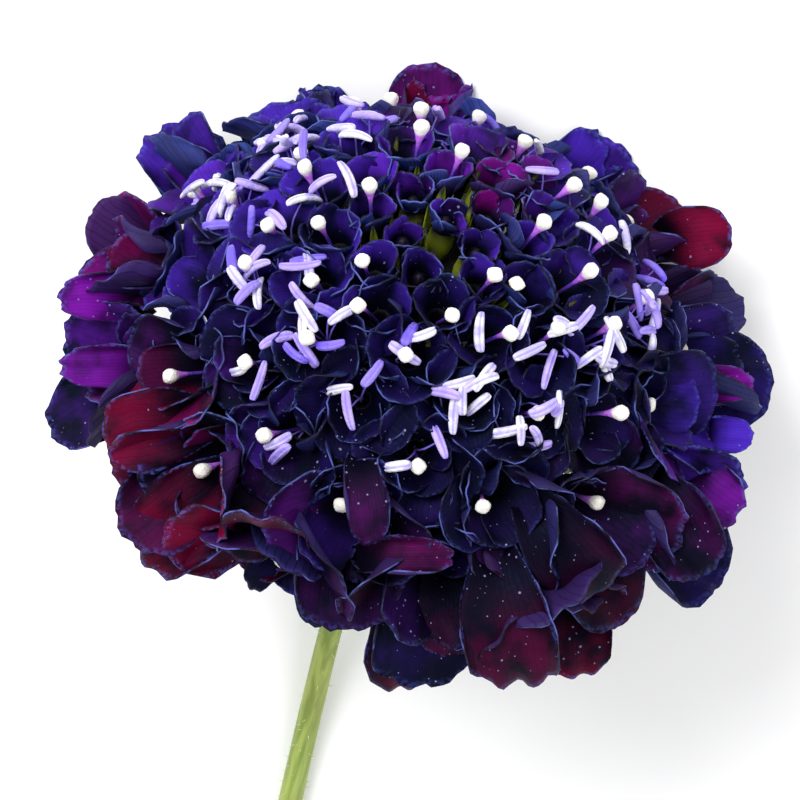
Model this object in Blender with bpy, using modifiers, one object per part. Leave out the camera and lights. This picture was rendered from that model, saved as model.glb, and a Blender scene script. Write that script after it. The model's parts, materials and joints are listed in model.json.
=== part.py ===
"""A cut scabiosa flower, lying on its side on a flat surface.

The head is a dome of florets that open outward from a receptacle, small in the
middle and long at the rim. A whorl of narrow green bracts backs it, and a
slender stem bends down from them and lies along the surface.
Units are metres, with +Z up. The stem runs along -Y and the head faces +Y.
"""

import math

import bmesh
import bpy
from mathutils import Matrix, Vector

MM = 0.001

# Where the head sits: the centre of its rim, and how far its face is raised from level
RIM_CENTRE = Vector((-0.7, 43.5, 18.0)) * MM
FACE_RISE = math.radians(35.0)

# The dome on which the florets open, from the rim's centre
DOME_RADIUS = 19.5 * MM
DOME_HEIGHT = 16.2 * MM
FLORETS = 76
GOLDEN_ANGLE = math.radians(137.508)
FIRST_TURN = math.radians(75.0)
FIRST_TILT = 0.09
MIDDLE_SPACING = 3.5 * MM
RIM_SPACING = 6.6 * MM
SPACING_AGES = (0.0, 0.8)

# Ages run from 0 in the middle to 1 at the rim, and say what each floret is doing
BUD_AGE = 0.08
RAY_AGE = 0.83
ANTHER_AGES = (0.34, 0.62)
STIGMA_AGE = 0.3
STIGMA_SHARE = 0.38
GROWTH_AGES = (0.0, 0.7)
OPENING_AGES = (0.1, 0.7)
VALLEY_AGES = (0.3, RAY_AGE)
RAY_AGES = (RAY_AGE - 0.2, RAY_AGE + 0.06)

# Columns and rows of faces in a corolla, up to each age
DETAIL = ((0.3, 10, 1), (RAY_AGE, 15, 1), (1.0, 20, 2))

# Floret sizes: inner is the side towards the head's middle, and outer the side away from it
BLADE = 0.7 * MM
LOBES = 5
OUTER_SIDE = (-0.55, 0.7)
FLARED_SIDE = (-0.55, 0.5)
INNER_LOBE = (3.4 * MM, 4.8 * MM)
OUTER_LOBE = (3.6 * MM, 6.2 * MM)
RAY_EXTRA = 7.2 * MM
LOPSIDED = 1.6 * MM
LONG_SIDE = math.radians(-50.0)
VALLEY_SHARES = (0.6, 0.74)
SHOULDER_DROP = 0.14
EDGE_SCATTER = 0.06
THROAT_FLARE = math.radians(20.0)
OPENING = (math.radians(30.0), math.radians(56.0))
RAY_FLARE = math.radians(14.0)
INNER_RAY_FLARE = math.radians(40.0)
RAY_SWING = math.radians(22.0)
FLARE_SCATTER = math.radians(16.0)
LOBE_SPIN = math.radians(14.0)
FOOT_DEPTH = 6.2 * MM
BUD_RADIUS = 1.5 * MM
BUD_LENGTH = 3.2 * MM

# What stands out of the florets
STALK_RADIUS = 0.4 * MM
STALK_SIDES = 4
STALK_FOOT = -1.0 * MM
STALK_SEAT = 0.8 * MM
STYLE_LENGTH = 4.6 * MM
STYLE_LEAN = math.radians(18.0)
STIGMA_RADIUS = 0.75 * MM
KNOB_LENGTH = 1.65 * MM
FILAMENT_LENGTH = 4.2 * MM
FILAMENT_LEAN = (math.radians(15.0), math.radians(38.0))
ANTHER_LENGTH = 2.9 * MM
ANTHER_WIDTH = 0.85 * MM

# The solid heart of tubes and receptacle that the florets stand out of
CORE_RADIUS = 14.5 * MM
CORE_HEIGHT = 12.6 * MM
CORE_BASE = -4.5 * MM
BACK_RADIUS = 6.5 * MM
HEART_STEPS = 4
HEART_SIDES = 12

# The green whorl behind the head
SEAM = 0.3 * MM
WHORL_RADIUS = 4.6 * MM
WHORL_DEPTH = 2.4 * MM
NECK_RADIUS = 1.5 * MM
BRACTS = 11
BRACT_LENGTH = 9.5 * MM
BRACT_WIDTH = 2.3 * MM
BRACT_SLOPE = math.radians(20.0)
BRACT_ROOT = 1.6 * MM
BRACT_TAPER = 0.85
BRACT_CHANNEL = 0.35 * MM
BRACT_TOP = 0.1 * MM
BRACT_SCATTER = 0.2

# The stem
STEM_TOP_RADIUS = 1.0 * MM
STEM_CUT_RADIUS = 1.2 * MM
STEM_LENGTH = 108.0 * MM
STEM_STEP = 4.5 * MM
STEM_SUNK = 0.12 * MM
STEM_SWAY = 3.0 * MM
CUT_BACK = 2.0 * MM
CUT_SLANT = math.radians(35.0)

# How petals bend where they meet the surface: how deep each layer presses, and how far it slides
SUNK = 0.02 * MM
LAYERS = 5
SLIDE = 0.55

# What the solids are joined and shaded with
WELD = 0.002 * MM
MERGE = 0.01 * MM
SLAB = 400.0 * MM
SHARP = math.radians(40.0)


def drawn(number, salt):
    """A repeatable draw from 0 to 1 for a numbered piece."""
    return math.sin(number * 12.9898 + salt * 78.233) * 43758.5453 % 1.0


def eased(value, low, high):
    """0 below low, 1 above high, and a smooth step between."""
    share = min(max((value - low) / (high - low), 0.0), 1.0)
    return share * share * (3.0 - 2.0 * share)


def head_matrix():
    """From the head's own frame, with +Z out of its face, to the part's frame."""
    return Matrix.Translation(RIM_CENTRE) @ Matrix.Rotation(FACE_RISE - math.pi / 2, 4, "X")


def pressed(point, floret):
    """A point of the head's frame, bent forward along the surface where it would reach below it."""
    placed = head_matrix() @ point
    floor = BLADE / 2 - SUNK * (1 + floret * 7 % LAYERS)
    depth = max(floor - placed.z, 0.0)
    placed += Vector((0, SLIDE * depth, depth))
    return head_matrix().inverted() @ placed


def floret_places():
    """Walks outward over the dome by the golden angle, giving each floret its share of the surface."""
    places = []
    angle_down = FIRST_TILT
    for number in range(FLORETS):
        age = number / (FLORETS - 1)
        round_angle = FIRST_TURN + number * GOLDEN_ANGLE
        across = DOME_RADIUS * math.sin(angle_down)
        mouth = Vector((
            across * math.cos(round_angle),
            across * math.sin(round_angle),
            DOME_HEIGHT * math.cos(angle_down),
        ))
        facing = Vector((mouth.x, mouth.y, mouth.z * (DOME_RADIUS / DOME_HEIGHT) ** 2)).normalized()
        outward = Vector((math.cos(round_angle), math.sin(round_angle), 0.0))
        outward = (outward - facing * outward.dot(facing)).normalized()
        sideways = facing.cross(outward)
        frame = Matrix((outward, sideways, facing)).transposed().to_4x4()
        places.append({
            "number": number,
            "age": age,
            "round": round_angle,
            "matrix": Matrix.Translation(mouth) @ frame,
        })
        spacing = MIDDLE_SPACING + (RIM_SPACING - MIDDLE_SPACING) * eased(age, *SPACING_AGES)
        steepness = math.hypot(DOME_RADIUS * math.cos(angle_down), DOME_HEIGHT * math.sin(angle_down))
        angle_down += spacing**2 / (2 * math.pi * across * steepness)
    return places


def lobe_length(place, turn):
    """How far a corolla reaches at this turn from its outward side."""
    age = place["age"]
    ray = eased(age, *RAY_AGES)
    grown = eased(age, *GROWTH_AGES)
    extra = RAY_EXTRA + LOPSIDED * math.cos(place["round"] - LONG_SIDE)
    inner = INNER_LOBE[0] + (INNER_LOBE[1] - INNER_LOBE[0]) * grown
    outer = OUTER_LOBE[0] + (OUTER_LOBE[1] - OUTER_LOBE[0]) * grown + extra * ray
    return inner + (outer - inner) * eased(math.cos(turn), *OUTER_SIDE)


def lobe_flare(place, turn):
    """The angle from the floret's own axis at which a corolla ends, at this turn."""
    ray = eased(place["age"], *RAY_AGES)
    scatter = FLARE_SCATTER * (drawn(place["number"], 1) - 0.5)
    droop = RAY_FLARE - RAY_SWING * math.sin(place["round"]) + scatter
    opening = OPENING[0] + (OPENING[1] - OPENING[0]) * eased(place["age"], *OPENING_AGES)
    outer = opening + (droop - opening) * ray
    inner = opening + (INNER_RAY_FLARE - opening) * ray
    return inner + (outer - inner) * eased(math.cos(turn), *FLARED_SIDE)


def funnel_point(reach, flare, length):
    """Where a blade that leaves the throat steeply and bends outward has got to, as (out, up)."""
    start = min(THROAT_FLARE, flare)
    angle = start + (flare - start) * min(1.0, reach / length)
    return reach * math.sin(angle), reach * math.cos(angle)


def corolla(place, columns, rows):
    """A funnel with five lobes: a thin blade, drawn down at its middle to a foot in the heart."""
    solid = bmesh.new()
    bmesh.ops.create_grid(solid, x_segments=columns, y_segments=rows, size=1.0)
    per_lobe = columns // LOBES
    lobe_turn = 2 * math.pi / LOBES
    spin = LOBE_SPIN * (drawn(place["number"], 2) - 0.5)
    deep, shallow = VALLEY_SHARES
    valley = deep + (shallow - deep) * eased(place["age"], *VALLEY_AGES)
    for vertex in solid.verts:
        column = round((vertex.co.x + 1) / 2 * columns) % columns
        share = (vertex.co.y + 1) / 2
        in_lobe = column % per_lobe
        turn = column / columns * 2 * math.pi - lobe_turn / 2
        lobe_middle = (column // per_lobe) * lobe_turn
        if in_lobe == 0:
            full = min(lobe_length(place, lobe_middle), lobe_length(place, lobe_middle - lobe_turn))
            edge = valley
        else:
            full = lobe_length(place, lobe_middle)
            edge = 1.0 - SHOULDER_DROP * abs(in_lobe / per_lobe - 0.5) ** 2 * 4
        uneven = 1.0 + EDGE_SCATTER * (drawn(place["number"] * 31 + column, 3) - 0.5)
        out, up = funnel_point(full * edge * share * uneven, lobe_flare(place, turn), full)
        around = turn + spin
        local = Vector((out * math.cos(around), out * math.sin(around), up))
        vertex.co = pressed(place["matrix"] @ local, place["number"])
    bmesh.ops.remove_doubles(solid, verts=solid.verts, dist=MERGE)
    bmesh.ops.triangulate(solid, faces=solid.faces)
    bmesh.ops.recalc_face_normals(solid, faces=solid.faces)
    return funnelled(solid, place)


def funnelled(solid, place):
    """Thickens a triangulated sheet, and draws the middle of its underside down to the foot."""
    matrix = place["matrix"]
    throat = pressed(matrix.translation, place["number"])
    solid.normal_update()
    middle = min(solid.verts, key=lambda vertex: (vertex.co - throat).length)
    if middle.normal.dot(matrix.to_3x3().col[2]) < 0:
        bmesh.ops.reverse_faces(solid, faces=solid.faces)
        solid.normal_update()
    upper = sorted(solid.verts, key=lambda vertex: vertex.co[:])
    offsets = [vertex.normal * BLADE / 2 for vertex in upper]
    grown = bmesh.ops.extrude_face_region(solid, geom=list(solid.faces))["geom"]
    lower = [item for item in grown if isinstance(item, bmesh.types.BMVert)]
    foot = min(lower, key=lambda vertex: (vertex.co - throat).length)
    lower.sort(key=lambda vertex: vertex.co[:])
    for above, below, offset in zip(upper, lower, offsets):
        above.co += offset
        below.co -= offset
    foot.co = matrix @ Vector((0, 0, -FOOT_DEPTH))
    bmesh.ops.recalc_face_normals(solid, faces=solid.faces)
    return solid


def new_collection(name):
    """An empty collection in the scene."""
    made = bpy.data.collections.new(name)
    bpy.context.scene.collection.children.link(made)
    return made


def new_object(mesh_source, name, collection, parent):
    """Turns a bmesh into an object that hangs from parent."""
    mesh = bpy.data.meshes.new(name)
    mesh_source.to_mesh(mesh)
    mesh_source.free()
    made = bpy.data.objects.new(name, mesh)
    collection.objects.link(made)
    made.parent = parent
    return made


def thickened(made, thickness):
    """Gives a sheet its thickness, half on each side."""
    solidify = made.modifiers.new("thickness", "SOLIDIFY")
    solidify.thickness = thickness
    solidify.offset = 0.0
    solidify.use_even_offset = False
    return made


def bud(place):
    """A floret that is still shut: a small egg that stands on the heart."""
    solid = bmesh.new()
    size = Matrix.Diagonal((BUD_RADIUS, BUD_RADIUS, BUD_LENGTH, 1.0))
    seat = place["matrix"] @ Matrix.Translation((0, 0, -BUD_LENGTH / 2)) @ size
    bmesh.ops.create_icosphere(solid, subdivisions=1, radius=1.0, matrix=seat)
    return solid


def turned(profile, sides):
    """A closed solid from a profile of (radius, height) that starts and ends on the axis."""
    solid = bmesh.new()
    corners = [solid.verts.new((radius, 0.0, height)) for radius, height in profile]
    outline = [solid.edges.new(pair) for pair in zip(corners, corners[1:])]
    bmesh.ops.spin(solid, geom=corners + outline, cent=(0, 0, 0), axis=(0, 0, 1),
                   angle=2 * math.pi, steps=sides, use_merge=True)
    bmesh.ops.remove_doubles(solid, verts=solid.verts, dist=MERGE)
    bmesh.ops.recalc_face_normals(solid, faces=solid.faces)
    return solid


def style():
    """A slim stalk that widens into the knob of a stigma."""
    shoulder = STYLE_LENGTH - STIGMA_RADIUS
    return turned([
        (0.0, STALK_FOOT),
        (STALK_RADIUS, STALK_FOOT),
        (STALK_RADIUS, STYLE_LENGTH - KNOB_LENGTH),
        (STIGMA_RADIUS, shoulder),
        (0.0, STYLE_LENGTH),
    ], STALK_SIDES)


def filament():
    """The slim stalk that holds an anther."""
    return turned([
        (0.0, STALK_FOOT),
        (STALK_RADIUS, STALK_FOOT),
        (STALK_RADIUS, FILAMENT_LENGTH),
        (0.0, FILAMENT_LENGTH),
    ], STALK_SIDES)


def anther():
    """The bar that is balanced across a filament's end."""
    solid = bmesh.new()
    size = Matrix.Diagonal((ANTHER_LENGTH, ANTHER_WIDTH, ANTHER_WIDTH, 1.0))
    bmesh.ops.create_cube(solid, matrix=Matrix.Translation((0, 0, FILAMENT_LENGTH)) @ size)
    return solid


def stand_in_floret(solids, place, lean, salt, name, repeats, seat):
    """Stands small solids in a floret's throat, leaning, unless they would reach the surface."""
    spin = Matrix.Rotation(2 * math.pi * drawn(place["number"], salt), 4, "Z")
    off_axis = Matrix.Translation((STALK_SEAT, 0, 0))
    stand = place["matrix"] @ spin @ off_axis @ Matrix.Rotation(lean, 4, "Y")
    for solid in solids:
        bmesh.ops.transform(solid, matrix=stand, verts=solid.verts)
    lowest = min((head_matrix() @ vertex.co).z for solid in solids for vertex in solid.verts)
    for number, solid in enumerate(solids):
        if lowest > BLADE:
            new_object(solid, f"{name}_{number}", repeats, seat)
        else:
            solid.free()


def united(made, name, collection, operation="UNION"):
    """The object joined with, or cut by, every object of a collection, which is then removed."""
    join = made.modifiers.new("join", "BOOLEAN")
    join.operation = operation
    join.operand_type = "COLLECTION"
    join.collection = collection
    join.solver = "MANIFOLD"
    graph = bpy.context.evaluated_depsgraph_get()
    mesh = bpy.data.meshes.new_from_object(made.evaluated_get(graph))
    made.modifiers.clear()
    made.data = mesh
    mesh.name = name
    for other in list(collection.objects):
        bpy.data.objects.remove(other)
    bpy.data.collections.remove(collection)
    return made


def trimmed(made):
    """Cuts away what is below the surface, which leaves flat spots where a piece lies on it."""
    below = new_collection("surface")
    slab = bmesh.new()
    bmesh.ops.create_cube(slab, size=SLAB)
    bmesh.ops.translate(slab, vec=(0, 0, -SLAB / 2), verts=slab.verts)
    new_object(slab, "surface_cutter", below, None)
    return united(made, made.name, below, "DIFFERENCE")


def keep_main_body(made):
    """Keeps the largest body, which fills sealed hollows and drops loose scraps, and welds it."""
    solid = bmesh.new()
    solid.from_mesh(made.data)
    bodies = []
    for start in solid.faces:
        if start.tag:
            continue
        start.tag = True
        body = [start]
        for face in body:
            for other in (link for edge in face.edges for link in edge.link_faces):
                if not other.tag:
                    other.tag = True
                    body.append(other)
        bodies.append(body)
    bodies.sort(key=len)
    extra = [face for body in bodies[:-1] for face in body]
    bmesh.ops.delete(solid, geom=extra, context="FACES")
    bmesh.ops.remove_doubles(solid, verts=solid.verts, dist=WELD)
    solid.to_mesh(made.data)
    solid.free()
    return made


def heart():
    """A dome of packed tubes above, narrowing below to the flat back of the receptacle."""
    quarter = [math.pi / 2 * step / HEART_STEPS for step in range(HEART_STEPS + 1)]
    dome = [(CORE_RADIUS * math.sin(turn), CORE_HEIGHT * math.cos(turn)) for turn in quarter]
    return turned(dome + [(BACK_RADIUS, CORE_BASE), (0.0, CORE_BASE)], HEART_SIDES)


def flower_head(collection, seat):
    """All the florets, with their stigmas and anthers, joined to the heart they grow from."""
    repeats = new_collection("florets")
    for place in floret_places():
        number = place["number"]
        age = place["age"]
        name = f"floret_{number:02d}"
        if age < BUD_AGE:
            new_object(bud(place), name, repeats, seat)
        else:
            columns, rows = next(detail[1:] for detail in DETAIL if age <= detail[0])
            new_object(corolla(place, columns, rows), name, repeats, seat)
        if age > STIGMA_AGE and drawn(number, 5) < STIGMA_SHARE:
            lean = STYLE_LEAN * drawn(number, 6)
            stand_in_floret([style()], place, lean, 7, name + "_style", repeats, seat)
        if ANTHER_AGES[0] < age < ANTHER_AGES[1]:
            least, most = FILAMENT_LEAN
            lean = least + (most - least) * drawn(number, 8)
            stand_in_floret([filament(), anther()], place, lean, 9, name + "_stamen", repeats, seat)
    head = united(new_object(heart(), "flower_head", collection, seat), "flower_head", repeats)
    return keep_main_body(trimmed(head))


def bract():
    """One narrow bract: a thin blade, pointed at its tip and channelled along its middle."""
    sheet = bmesh.new()
    bmesh.ops.create_grid(sheet, x_segments=2, y_segments=3, size=1.0)
    for vertex in sheet.verts:
        along = (vertex.co.y + 1) / 2
        half_width = BRACT_WIDTH / 2 * (1.0 - BRACT_TAPER * along**2)
        out = WHORL_RADIUS - BRACT_ROOT + (BRACT_LENGTH + BRACT_ROOT) * along
        bend = BRACT_SLOPE * (1.0 + along) / 2
        drop = -out * math.sin(bend) + BRACT_CHANNEL * abs(vertex.co.x)
        vertex.co = Vector((out * math.cos(bend), vertex.co.x * half_width, drop))
    return sheet


def green_whorl(collection, seat):
    """The cup under the receptacle and the bracts that spread from it."""
    repeats = new_collection("bracts")
    top = CORE_BASE - SEAM
    for number in range(BRACTS):
        blade = bract()
        angle = 2 * math.pi * (number + BRACT_SCATTER * drawn(number, 20)) / BRACTS
        length = Matrix.Diagonal((1.0 - BRACT_SCATTER * drawn(number, 21), 1.0, 1.0, 1.0))
        seat_point = Matrix.Translation((0, 0, top - BRACT_TOP))
        place = seat_point @ Matrix.Rotation(angle, 4, "Z") @ length
        bmesh.ops.transform(blade, matrix=place, verts=blade.verts)
        thickened(new_object(blade, f"bract_{number:02d}", repeats, seat), BLADE)
    cup = bmesh.new()
    bmesh.ops.create_cone(cup, cap_ends=True, segments=16, radius1=NECK_RADIUS,
                          radius2=WHORL_RADIUS, depth=WHORL_DEPTH)
    bmesh.ops.translate(cup, vec=(0, 0, top - WHORL_DEPTH / 2), verts=cup.verts)
    return united(new_object(cup, "green_whorl", collection, seat), "green_whorl", repeats)


def stem_line():
    """Points down the stem's middle: an arc from the neck to the surface, then along it."""
    neck = head_matrix() @ Vector((0, 0, CORE_BASE - SEAM - WHORL_DEPTH - SEAM))
    bend_radius = (neck.z - STEM_CUT_RADIUS + STEM_SUNK) / (1 - math.cos(FACE_RISE))
    arc = bend_radius * FACE_RISE
    foot_y = neck.y - bend_radius * math.sin(FACE_RISE)
    steps = round(STEM_LENGTH / STEM_STEP)
    points = []
    for step in range(steps + 1):
        along = STEM_LENGTH * step / steps
        slope = FACE_RISE * max(0.0, 1.0 - along / arc)
        y = foot_y + bend_radius * math.sin(slope) - max(0.0, along - arc)
        z = STEM_CUT_RADIUS - STEM_SUNK + bend_radius * (1.0 - math.cos(slope))
        sway = STEM_SWAY * eased(along, arc / 2, STEM_LENGTH)
        points.append(Vector((neck.x + sway, y, z)))
    return points


def stem(collection):
    """A slender round stem, a little stouter at its slanting cut."""
    points = stem_line()
    curve = bpy.data.curves.new("stem", "CURVE")
    curve.dimensions = "3D"
    curve.bevel_depth = STEM_CUT_RADIUS
    curve.bevel_resolution = 3
    curve.use_fill_caps = True
    spline = curve.splines.new("POLY")
    spline.points.add(len(points) - 1)
    for number, (control, point) in enumerate(zip(spline.points, points)):
        control.co = (*point, 1.0)
        share = number / (len(points) - 1)
        control.radius = STEM_TOP_RADIUS / STEM_CUT_RADIUS * (1.0 - share) + share
    guide = bpy.data.objects.new("stem_curve", curve)
    collection.objects.link(guide)
    graph = bpy.context.evaluated_depsgraph_get()
    mesh = bpy.data.meshes.new_from_object(guide.evaluated_get(graph))
    bpy.data.objects.remove(guide)
    solid = bmesh.new()
    solid.from_mesh(mesh)
    bmesh.ops.remove_doubles(solid, verts=solid.verts, dist=MERGE)
    whole = list(solid.verts) + list(solid.edges) + list(solid.faces)
    cut_at = points[-1] + Vector((0, CUT_BACK, 0))
    bmesh.ops.bisect_plane(solid, geom=whole, plane_co=cut_at, clear_outer=True,
                           plane_no=(0, -math.cos(CUT_SLANT), math.sin(CUT_SLANT)))
    bmesh.ops.holes_fill(solid, edges=solid.edges, sides=0)
    bmesh.ops.recalc_face_normals(solid, faces=solid.faces)
    return trimmed(new_object(solid, "stem", collection, None))


def finish(made, colour, roughness):
    """A plain surface colour, and smooth shading between sharp edges."""
    material = bpy.data.materials.new(made.name)
    material.use_nodes = True
    surface = material.node_tree.nodes["Principled BSDF"]
    surface.inputs["Base Color"].default_value = (*colour, 1.0)
    surface.inputs["Roughness"].default_value = roughness
    surface.inputs["Metallic"].default_value = 0.0
    made.data.materials.clear()
    made.data.materials.append(material)
    made.data.shade_smooth()
    made.data.set_sharp_from_angle(angle=SHARP)


def main():
    for old in list(bpy.data.objects):
        bpy.data.objects.remove(old)
    collection = new_collection("scabiosa_flower")
    seat = bpy.data.objects.new("head_seat", None)
    collection.objects.link(seat)
    seat.matrix_world = head_matrix()
    bpy.context.view_layer.update()
    finish(flower_head(collection, seat), (0.05, 0.004, 0.03), 0.7)
    finish(green_whorl(collection, seat), (0.1, 0.17, 0.05), 0.7)
    finish(stem(collection), (0.25, 0.33, 0.08), 0.6)


main()
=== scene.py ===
# %% [markdown]
# # A double scabiosa, cut and laid down
#
# The flower lies on its side on a pale surface, and the camera looks down on it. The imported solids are
# the frame: they say where the head, the green whorl and the stem are. Every piece made here is a finer
# version of one of them, so it is worked out from the same few sizes as the solids were.

# %% Load the frame that everything is built around
import json
import math
import random

import bmesh
import bpy
from mathutils import Matrix, Vector

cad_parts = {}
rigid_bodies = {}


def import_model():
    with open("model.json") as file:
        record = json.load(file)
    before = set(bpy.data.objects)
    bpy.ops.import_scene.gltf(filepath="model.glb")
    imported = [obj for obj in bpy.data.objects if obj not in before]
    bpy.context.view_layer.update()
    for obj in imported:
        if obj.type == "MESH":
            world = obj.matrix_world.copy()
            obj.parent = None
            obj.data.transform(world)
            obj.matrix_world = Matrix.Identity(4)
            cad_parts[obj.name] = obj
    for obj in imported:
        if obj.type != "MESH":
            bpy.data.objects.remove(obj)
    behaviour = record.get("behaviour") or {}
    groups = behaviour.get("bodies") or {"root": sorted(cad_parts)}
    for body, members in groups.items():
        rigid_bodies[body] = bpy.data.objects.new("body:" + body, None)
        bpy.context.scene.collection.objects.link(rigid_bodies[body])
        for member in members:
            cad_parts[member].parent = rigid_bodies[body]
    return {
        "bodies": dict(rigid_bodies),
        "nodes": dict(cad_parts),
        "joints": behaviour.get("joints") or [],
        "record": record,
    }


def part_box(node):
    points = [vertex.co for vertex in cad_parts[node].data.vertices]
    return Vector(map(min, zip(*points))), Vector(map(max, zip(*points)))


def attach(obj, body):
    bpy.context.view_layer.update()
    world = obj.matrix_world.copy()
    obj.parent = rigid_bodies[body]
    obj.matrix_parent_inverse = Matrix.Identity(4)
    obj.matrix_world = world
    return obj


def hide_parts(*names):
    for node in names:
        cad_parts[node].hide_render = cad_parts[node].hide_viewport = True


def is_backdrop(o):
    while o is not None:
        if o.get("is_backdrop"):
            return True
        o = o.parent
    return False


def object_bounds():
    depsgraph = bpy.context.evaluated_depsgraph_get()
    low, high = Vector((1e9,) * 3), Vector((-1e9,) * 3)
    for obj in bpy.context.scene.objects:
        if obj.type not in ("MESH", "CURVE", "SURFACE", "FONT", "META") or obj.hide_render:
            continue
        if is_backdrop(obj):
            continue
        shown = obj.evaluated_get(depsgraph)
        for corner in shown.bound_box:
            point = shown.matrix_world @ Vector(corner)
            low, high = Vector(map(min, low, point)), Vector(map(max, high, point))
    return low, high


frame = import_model()
cad_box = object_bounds()
MM = 0.001
for node in frame["nodes"]:
    low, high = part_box(node)
    print(node, "is", [round(size / MM, 1) for size in high - low], "mm")

# %% [markdown]
# A photograph has a viewpoint, and a rebuilt one has to share it. The head is about half a metre from
# the camera, which stands high over it, a little in front, and is rolled so that the stem leaves the
# picture at its lower left. The frame's width is worked out from a scale read in the photograph: how many
# of its pixels one millimetre of the head takes.

# %% Camera at the photograph's viewing angle
RIM_CENTRE = Vector((-0.7, 43.5, 18.0)) * MM
VIEW_RISE = math.radians(75.0)
VIEW_ROLL = math.radians(15.0)
VIEW_DISTANCE = 0.5
PIXELS = 800
PIXELS_PER_MM = 11.67
HEAD_PIXEL = (402, 362)


def add_camera():
    """A camera whose picture of the head's middle has the photograph's scale and place."""
    towards = Vector((0, math.cos(VIEW_RISE), math.sin(VIEW_RISE)))
    level_up = Vector((0, math.sin(VIEW_RISE), -math.cos(VIEW_RISE)))
    level_right = Vector((1, 0, 0))
    right = level_right * math.cos(VIEW_ROLL) + level_up * math.sin(VIEW_ROLL)
    up = level_up * math.cos(VIEW_ROLL) - level_right * math.sin(VIEW_ROLL)
    off_right = (HEAD_PIXEL[0] - PIXELS / 2) / PIXELS_PER_MM * MM
    off_up = (PIXELS / 2 - HEAD_PIXEL[1]) / PIXELS_PER_MM * MM
    aim = RIM_CENTRE - right * off_right - up * off_up
    lens = bpy.data.cameras.new("camera")
    lens.sensor_fit = "HORIZONTAL"
    lens.angle = 2 * math.atan(PIXELS / PIXELS_PER_MM * MM / 2 / VIEW_DISTANCE)
    lens.clip_start = 0.01
    camera = bpy.data.objects.new("camera", lens)
    bpy.context.scene.collection.objects.link(camera)
    place = Matrix((right, up, towards)).transposed().to_4x4()
    camera.matrix_world = Matrix.Translation(aim + towards * VIEW_DISTANCE) @ place
    bpy.context.scene.camera = camera
    return camera


camera = add_camera()
print("camera at", [round(value, 3) for value in camera.location])

# %% [markdown]
# The petals are nearly black, so they only show their form where light grazes them. A white surface and
# a white sky fill the picture the way a light tent does. One large soft light at the upper left of the
# picture brightens the petals' edges, and a weaker one opposite keeps the shadows readable.

# %% Floor, sky and soft light
FLOOR_WHITE = (0.93, 0.93, 0.94, 1.0)
FLOOR_REACH = 3.0
FLOOR_ROUGHNESS = 0.9
SKY_STRENGTH = 0.75
KEY_LIGHT = {"at": (-0.32, 0.34, 0.5), "size": 0.35, "watts": 4.0}
FILL_LIGHT = {"at": (0.45, -0.1, 0.4), "size": 0.5, "watts": 1.5}


def add_floor():
    """A plain pale sheet that the flower lies on."""
    sheet = bmesh.new()
    bmesh.ops.create_grid(sheet, x_segments=1, y_segments=1, size=FLOOR_REACH)
    mesh = bpy.data.meshes.new("floor")
    sheet.to_mesh(mesh)
    sheet.free()
    floor = bpy.data.objects.new("floor", mesh)
    bpy.context.scene.collection.objects.link(floor)
    paper = bpy.data.materials.new("pale_paper")
    paper.use_nodes = True
    surface = paper.node_tree.nodes["Principled BSDF"]
    surface.inputs["Base Color"].default_value = FLOOR_WHITE
    surface.inputs["Roughness"].default_value = FLOOR_ROUGHNESS
    mesh.materials.append(paper)
    floor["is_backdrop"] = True


def add_light(name, at, size, watts):
    """A square soft light that points at the head."""
    lamp = bpy.data.lights.new(name, "AREA")
    lamp.size = size
    lamp.energy = watts
    made = bpy.data.objects.new(name, lamp)
    bpy.context.scene.collection.objects.link(made)
    made.location = at
    made.rotation_euler = (Vector(at) - RIM_CENTRE).to_track_quat("Z", "Y").to_euler()


add_floor()
add_light("key_light", **KEY_LIGHT)
add_light("fill_light", **FILL_LIGHT)
world = bpy.data.worlds.new("white_sky")
world.use_nodes = True
world.node_tree.nodes["Background"].inputs["Color"].default_value = (1, 1, 1, 1)
world.node_tree.nodes["Background"].inputs["Strength"].default_value = SKY_STRENGTH
bpy.context.scene.world = world
bpy.context.scene.view_settings.view_transform = "Standard"
print("floor, sky and two lights")

# %% [markdown]
# A scabiosa's head is a dome of florets set by the golden angle, so the walk that places them is a few
# lines: each floret turns 137.5 degrees from the last and moves outward by its own share of the dome's
# surface. The sizes repeat those of the solids, so each finer floret opens where its solid one does.
# A floret's age runs from 0 in the middle to 1 at the rim.

# %% Where each floret opens
FACE_RISE = math.radians(35.0)
DOME_RADIUS = 19.5 * MM
DOME_HEIGHT = 16.2 * MM
FLORETS = 76
GOLDEN_ANGLE = math.radians(137.508)
FIRST_TURN = math.radians(75.0)
FIRST_TILT = 0.09
MIDDLE_SPACING = 3.5 * MM
RIM_SPACING = 6.6 * MM
SPACING_AGES = (0.0, 0.8)


def drawn(number, salt):
    """A repeatable draw from 0 to 1 for a numbered piece. Its three numbers only have to scatter well."""
    return math.sin(number * 12.9898 + salt * 78.233) * 43758.5453 % 1.0


def eased(value, low, high):
    """0 below low, 1 above high, and a smooth step between."""
    share = min(max((value - low) / (high - low), 0.0), 1.0)
    return share * share * (3.0 - 2.0 * share)


def between(low, high, share):
    """The value that lies this share of the way from low to high."""
    return low + (high - low) * share


HEAD = Matrix.Translation(RIM_CENTRE) @ Matrix.Rotation(FACE_RISE - math.pi / 2, 4, "X")


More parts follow.
